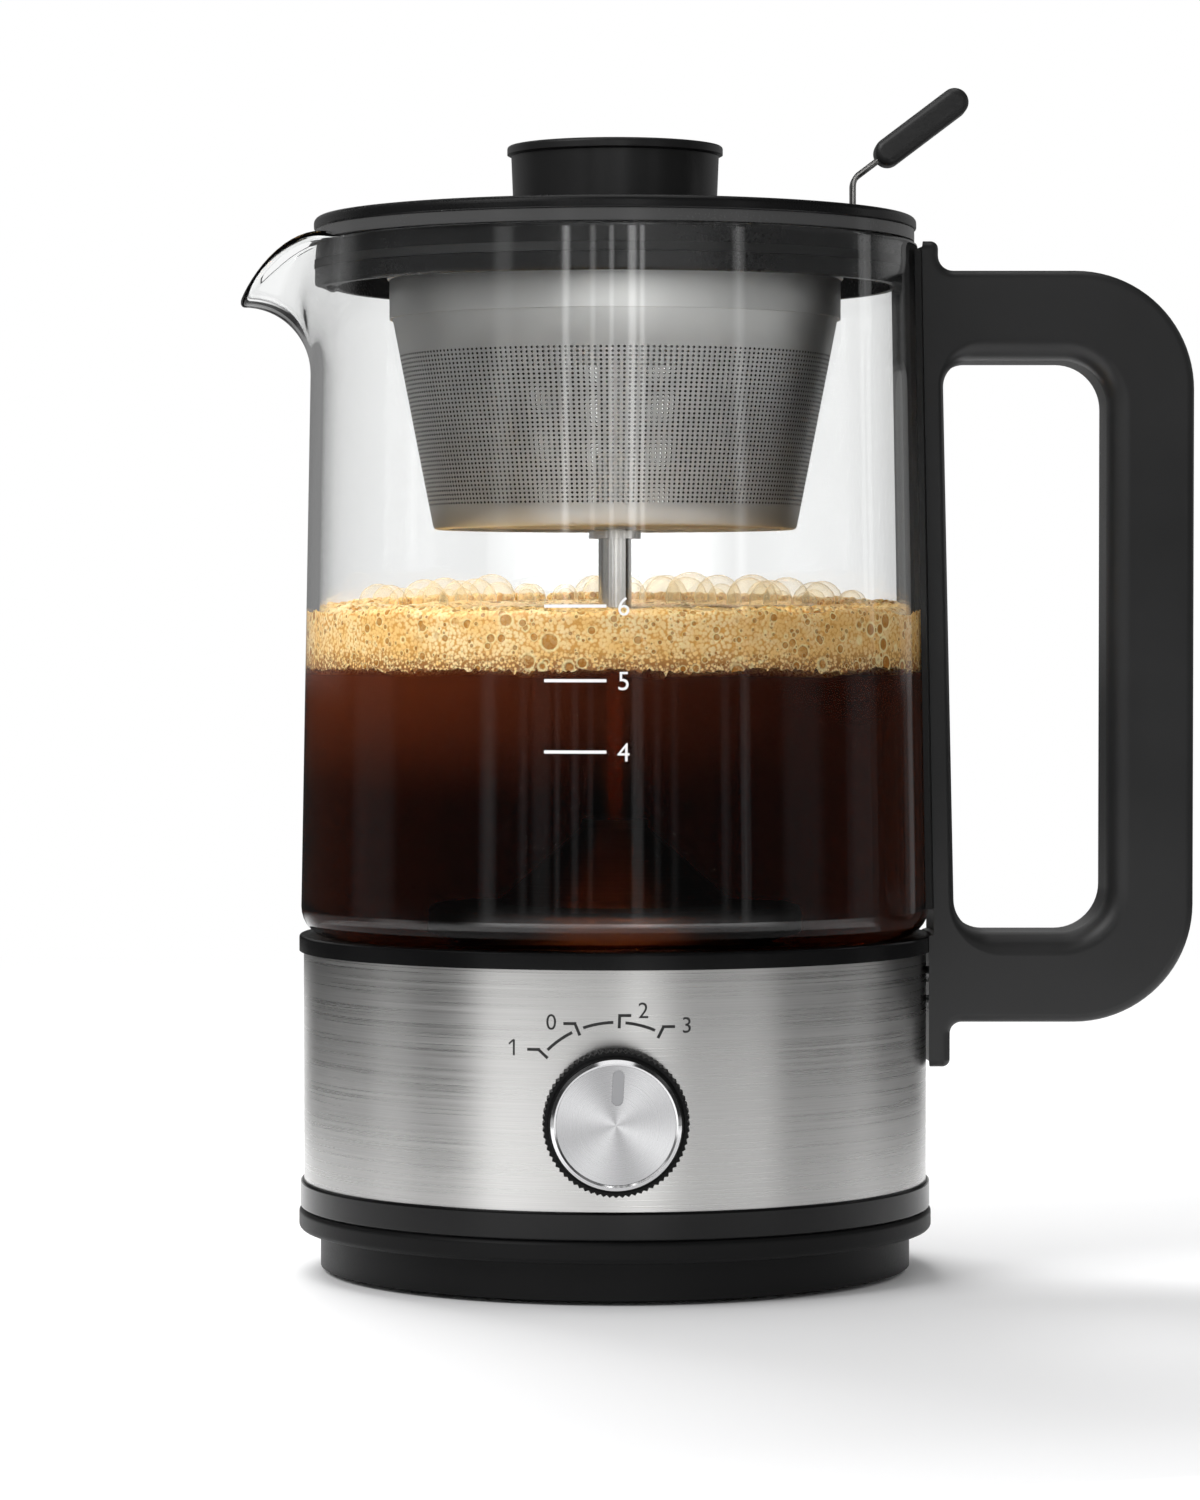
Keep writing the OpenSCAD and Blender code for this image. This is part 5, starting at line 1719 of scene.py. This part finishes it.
@dataclass
class Marks:
    """Level marks on the glass and positions round the dial, sizes in millimetres.

    Each tick is its angle in degrees and the side that its elbow points to. Each numeral is its value, the
    angle of its tick, and how far it stands to the right of the tick's end and below it.
    """

    jug: Jug
    levels: tuple[tuple[int, float], ...] = ((6, 132.2), (5, 118.2), (4, 104.8))
    level_left: float = -13.6
    level_right: float = -1.8
    level_line: float = 0.6
    level_digit: float = 3.5
    level_digit_x: float = 0.2
    level_ink: float = 0.03
    dial_z: float = 35.5
    band_r: float = 62.2
    arc_r: float = 18.5
    arc_gap: float = 3.5
    ticks: tuple[tuple[float, int], ...] = ((-48.0, -1), (-23.0, -1), (2.0, 1), (27.0, 1))
    tick_in: float = 17.4
    tick_out: float = 19.8
    line: float = 0.56
    elbow: float = 2.2
    numerals: tuple[tuple[int, float, float, float], ...] = (
        (1, -48, -6.2, 1.2), (0, -23, -5.6, 1.2), (2, 2, 3.4, 0.5), (3, 27, 3.4, 1.2))
    dial_digit: float = 3.0
    dial_ink: float = 0.02

    def level_marks(self) -> None:
        """Lines and plain numbers on the front of the glass."""
        drawing = Print("level_marks", Finishes.white_ink)
        for value, z in self.levels:
            drawing.line([(self.level_left, z), (self.level_right, z)], self.level_line)
            drawing.number(value, (self.level_digit_x, z - self.level_digit / 2), self.level_digit)
        drawing.wrap(self.jug.radius(0.0), self.jug.lean(), self.level_ink)

    def dial_marks(self) -> None:
        """Ticks, arcs and plain numbers round the dial."""
        drawing = Print("dial_marks", Finishes.black_ink)
        centre = (0.0, self.dial_z)

        def spot(turn: float, r: float) -> Flat:
            """Point at an angle and distance from the dial's middle."""
            t = math.radians(turn)
            return (centre[0] + r * math.sin(t), centre[1] + r * math.cos(t))

        for (a, _), (b, _) in zip(self.ticks, self.ticks[1:]):
            drawing.arc(centre, self.arc_r, a + self.arc_gap, b - self.arc_gap, self.line)
        for turn, way in self.ticks:
            x, z = spot(turn, self.tick_out)
            drawing.line([spot(turn, self.tick_in), (x, z)], self.line)
            drawing.line([(x - way * self.line / 2, z), (x + way * self.elbow, z)], self.line)
        for value, turn, shift, drop in self.numerals:
            x, z = spot(turn, self.tick_out)
            drawing.number(value, (x + shift, z - drop), self.dial_digit)
        drawing.wrap(self.band_r, 0.0, self.dial_ink)

    def build(self) -> None:
        """Prints both."""
        self.level_marks()
        self.dial_marks()


class Carried:
    """Solids of the part that keep their shape and get their finish here."""

    groups = (
        (Finishes.base, ("base_shell", "base_plate", "bottom_cover", "cord_gland", "dial_knob")),
        (Finishes.gloss, ("trim_ring", "collar_ring")),
        (Finishes.lid_top, ("lid_top",)),
        (Finishes.knob, ("lid_knob",)),
        (Finishes.lid_body, ("lid_body",)),
        (Finishes.housing, ("base_connector", "jug_socket", "base_tub", "thermostat", "rotary_switch")),
        (Finishes.rubber, ("foot_ring", "handle_pad")),
        (Finishes.silicone, ("plate_seal", "valve_seat")),
        (Finishes.lid_rubber, ("lid_seal",)),
        (Finishes.band, ("steel_band",)),
        (Finishes.sheet, ("basket_collar", "basket_floor", "basket_sleeve", "spreader")),
        (Finishes.bright, ("perk_tube", "stop_ring", "lever_wire", "valve_disc", "heater_element")),
        (Finishes.brew_steel, ("heater_plate",)),
        (Finishes.foot, ("tube_foot",)),
        (Finishes.screw, ("base_screws", "cover_screws", "handle_screws", "knob_screw", "switch_nut",
                          "clamp_nut", "switch_shaft")),
        (Finishes.brass, ("base_contacts", "socket_contacts")),
        (Finishes.ceramic, ("thermal_fuse",)),
        (Finishes.bevel, ("dial_bevel",)),
        (Finishes.dial, ("dial_face",)),
        (Finishes.pointer, ("dial_pointer",)),
    )

    def dress(self) -> None:
        """Puts a finish on every solid that is still shown."""
        done = {name for _, names in self.groups for name in names}
        for finish, names in self.groups:
            finish.dress(*(frame["nodes"][name] for name in names))
        for name, node in frame["nodes"].items():
            if name not in done and not node.hide_render:
                LOG.warning("%s has no finish", name)


@dataclass(frozen=True)
class Panel:
    """Light panel on the screen, by degrees to the right of the front and height in metres."""

    middle: float
    width: float
    soft: float
    low: float
    high: float
    level: float
    fade: float = 0.02

    def glow(self, g: Graph, turn: Socket, height: Socket) -> Socket:
        """Light of the panel at one place on the screen.

        Args:
            g: Where its nodes go.
            turn: Degrees to the right of the front.
            height: Height in metres.

        Returns:
            The light's level.
        """
        away = g.math("PINGPONG", g.math("SUBTRACT", turn, self.middle), 180.0)
        side = g.step(away, self.width / 2 + self.soft, self.width / 2)
        low = g.step(height, self.low - self.fade, self.low)
        high = g.step(height, self.high + self.fade, self.high)
        return g.math("MULTIPLY", g.math("MULTIPLY", side, g.math("MULTIPLY", low, high)), self.level)


def strips(low: float, high: float, *rows: tuple[float, float, float, float]) -> tuple[Panel, ...]:
    """Panels between two heights, each by its middle, width, soft edge and level."""
    return tuple(Panel(middle, width, soft, low, high, level) for middle, width, soft, level in rows)


@dataclass(frozen=True)
class Lamp:
    """Soft box, with its place, the point that it faces and its size in metres, and its power in watts."""

    name: str
    at: Corner
    to: Corner
    size: Flat
    power: float

    def build(self) -> None:
        """Puts the lamp in the scene."""
        data = bpy.data.lights.new(self.name, "AREA")
        data.shape, data.size, data.size_y, data.energy = "RECTANGLE", *self.size, self.power
        made = bpy.data.objects.new(self.name, data)
        made.location = self.at
        made.rotation_euler = (Vector(self.to) - Vector(self.at)).to_track_quat("-Z", "Y").to_euler()
        bpy.context.scene.collection.objects.link(made)


@dataclass
class Studio:
    """Pale floor, two soft lamps, a screen for reflections and the camera, sizes in metres.

    A ray's depths are whole numbers, so the limits on them lie halfway between two.
    """

    eye: Corner = (-0.003, -1.0, 0.1296)
    pitch: float = 1.49
    lens: float = 120.0
    sensor: float = 36.0
    clip: Flat = (0.01, 100.0)
    sky: float = 0.68
    sides: int = 96
    floor_radii: tuple[float, ...] = (50, 300, 900, 4000)
    floor_colour: Colour = (0.92, 0.92, 0.925)
    floor_mirrored: float = 0.25
    floor_roughness: float = 0.55
    floor_shine: float = 0.2
    fade_back: Flat = (0.1, 0.9)
    fade_round: Flat = (0.6, 1.6)
    bounced: float = 0.5
    before_jug: float = 2.5
    past_jug: float = 3.5
    past_basket: float = 5.5
    tent_r: float = 0.26
    tent_z: Flat = (0.001, 0.8)
    tent_grey: float = 0.025
    panels: tuple[Panel, ...] = (
        *strips(0.0, 0.032, (-15, 44, 17, 1.7), (28, 40, 12, 1.0), (-80, 10, 8, 0.3), (-115, 80, 15, 0.14),
                (75, 30, 15, 0.24), (115, 50, 15, 0.08), (180, 40, 30, 1.0)),
        *strips(0.13, 0.3, (-140, 50, 15, 0.22), (140, 50, 15, 0.25)),
        *strips(0.19, 0.3, (0, 120, 50, 0.05)),
        *strips(0.16, 0.24, (22, 12, 12, 0.12)),
        *strips(0.14, 0.3, (-38, 4, 2, 0.5)),
        *strips(0.15, 0.3, (-16.4, 0.7, 1.4, 2.6), (-7.5, 0.4, 1.2, 1.2), (-1.3, 0.4, 1.0, 1.6),
                (5.5, 0.8, 1.6, 2.8), (8.8, 0.4, 1.0, 2.2), (42, 1.2, 1.6, 1.3)),
        *strips(0.14, 0.3, (99, 2, 2, 1.0)),
        *strips(0.05, 0.14, (-90, 17, 3, 0.06), (-42, 3.0, 1.5, 0.17), (-30, 1.0, 1.0, 0.1),
                (-24, 4.0, 1.5, 0.07), (-18.7, 0.6, 0.8, 0.12), (-13, 1.2, 0.8, 0.1), (-8, 0.8, 0.8, 0.07),
                (7, 2.0, 1.5, 0.2), (13.4, 0.8, 1.0, 0.06), (19, 1.0, 1.0, 0.05), (36, 1.2, 0.8, 0.09),
                (43, 1.2, 0.8, 0.25), (65, 12, 3, 0.05), (95, 16, 2, 0.07)),
        *strips(0.05, 0.12, (127, 3, 2, 0.22)),
    )
    basket_panels: tuple[Panel, ...] = (
        Panel(0, 150, 40, 0.0, 0.03, 0.3),
        Panel(0, 150, 40, 0.14, 0.3, 0.34),
        Panel(45, 60, 30, 0.0, 0.03, 0.5),
        Panel(45, 60, 30, 0.14, 0.17, 0.6),
        Panel(4, 36, 16, 0.18, 0.3, 0.7),
    )
    inner_panel: Panel = Panel(0, 50, 30, 0.09, 0.5, 14.0)
    lamps: tuple[Lamp, ...] = (
        Lamp("back", (-0.3, 0.85, 1.0), (0, 0, 0.1), (0.8, 0.6), 13.0),
        Lamp("front", (-0.85, -0.75, 1.05), (0, 0, 0.1), (0.7, 0.7), 10.0),
    )

    def camera(self) -> None:
        """Camera at the photograph's viewing angle."""
        data = bpy.data.cameras.new("camera")
        data.lens, data.sensor_width = self.lens, self.sensor
        data.clip_start, data.clip_end = self.clip
        made = bpy.data.objects.new("camera", data)
        made.location = self.eye
        made.rotation_euler = (math.radians(90 - self.pitch), 0, 0)
        bpy.context.scene.collection.objects.link(made)
        bpy.context.scene.camera = made

    def seen(self, g: Graph) -> Socket:
        """Tells the rays that show the background itself.

        Args:
            g: Where its nodes go.

        Returns:
            1 for those rays and 0 for others.
        """
        ray = g.add("ShaderNodeLightPath").outputs
        shown = g.math("MAXIMUM", ray["Is Camera Ray"], ray["Is Glossy Ray"])
        return g.math("MAXIMUM", shown, ray["Is Transmission Ray"])

    def world(self) -> None:
        """White to look at, with a plain level of light."""
        world = bpy.data.worlds.new("studio")
        g = blank(world)
        level, white = (g.coat("ShaderNodeBackground", WHITE, Strength=s) for s in (self.sky, 1.0))
        g.add("ShaderNodeOutputWorld", {"Surface": g.blend(self.seen(g), level, white)})
        bpy.context.scene.world = world

    def floor(self) -> None:
        """Pale round floor that turns white with distance and is darker where the jug's glass mirrors it."""
        angle = around(self.sides)
        rows = np.stack([ring(angle, r, 0.0) for r in self.floor_radii])
        floor = link_plain("floor", rows.reshape(-1, 3), [*wrap_rows(rows, False), tuple(range(self.sides))])
        made = bpy.data.materials.new("pale_floor")
        g = blank(made)
        back = g.step(g.split(g.place())["Y"], *self.fade_back)
        far = g.math("MAXIMUM", back, g.step(g.length(g.place()), *self.fade_round))
        ray = g.add("ShaderNodeLightPath").outputs
        bounced = g.math("GREATER_THAN", ray["Glossy Depth"], self.bounced)
        outside = g.math("LESS_THAN", ray["Transmission Depth"], self.before_jug)
        mirrored = g.math("MULTIPLY", g.math("MULTIPLY", ray["Is Singular Ray"], bounced), outside)
        colour = g.tint(mirrored, self.floor_colour, scaled(self.floor_colour, self.floor_mirrored))
        soft = g.surface({
            "Base Color": colour, "Roughness": self.floor_roughness, "Specular IOR Level": self.floor_shine})
        white = g.coat("ShaderNodeEmission", WHITE, Strength=1.0)
        both = g.blend(g.math("MULTIPLY", far, self.seen(g)), soft, white)
        g.add("ShaderNodeOutputMaterial", {"Surface": both})
        floor.data.materials.append(made)

    def tent(self) -> None:
        """Round screen about the object that only reflections show, painted with soft panels."""
        angle = around(self.sides)
        rows = np.stack([ring(angle, self.tent_r, z) for z in self.tent_z])
        screen = link_plain("tent", rows.reshape(-1, 3) / MM, wrap_rows(rows, False))
        made = bpy.data.materials.new("tent_panels")
        g = blank(made)
        at = g.split(g.place())
        turn = g.math("DEGREES", g.math("ARCTAN2", at["X"], g.math("MULTIPLY", at["Y"], -1.0)))
        glow = self.tent_grey
        for panel in self.panels:
            glow = g.math("ADD", glow, panel.glow(g, turn, at["Z"]))
        ray = g.add("ShaderNodeLightPath").outputs
        for least, panels in ((self.past_jug, self.basket_panels), (self.past_basket, (self.inner_panel,))):
            inside = g.math("GREATER_THAN", ray["Transmission Depth"], least)
            for panel in panels:
                glow = g.math("MULTIPLY_ADD", panel.glow(g, turn, at["Z"]), inside, glow)
        light = g.coat("ShaderNodeEmission", WHITE, Strength=glow)
        bounced = g.math("GREATER_THAN", ray["Glossy Depth"], self.bounced)
        both = g.blend(bounced, g.coat("ShaderNodeBsdfTransparent", WHITE), light)
        g.add("ShaderNodeOutputMaterial", {"Surface": both})
        screen.data.materials.append(made)
        screen.visible_camera = screen.visible_diffuse = screen.visible_shadow = False

    def build(self) -> None:
        """Sets up the whole studio."""
        bpy.context.scene.view_settings.view_transform = "Standard"
        self.camera()
        self.world()
        self.floor()
        self.tent()
        for lamp in self.lamps:
            lamp.build()


def main() -> None:
    """Builds every sub-assembly in order, dresses the solids of the part and sets up the studio."""
    logging.basicConfig(level=logging.INFO, format="%(name)s %(message)s")
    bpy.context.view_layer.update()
    jug = Jug()
    for assembly in (jug, Handle(jug), Lever(), Basket(), Brew(jug), Marks(jug)):
        assembly.build()
    Carried().dress()
    Studio().build()


if __name__ == "__main__":
    main()
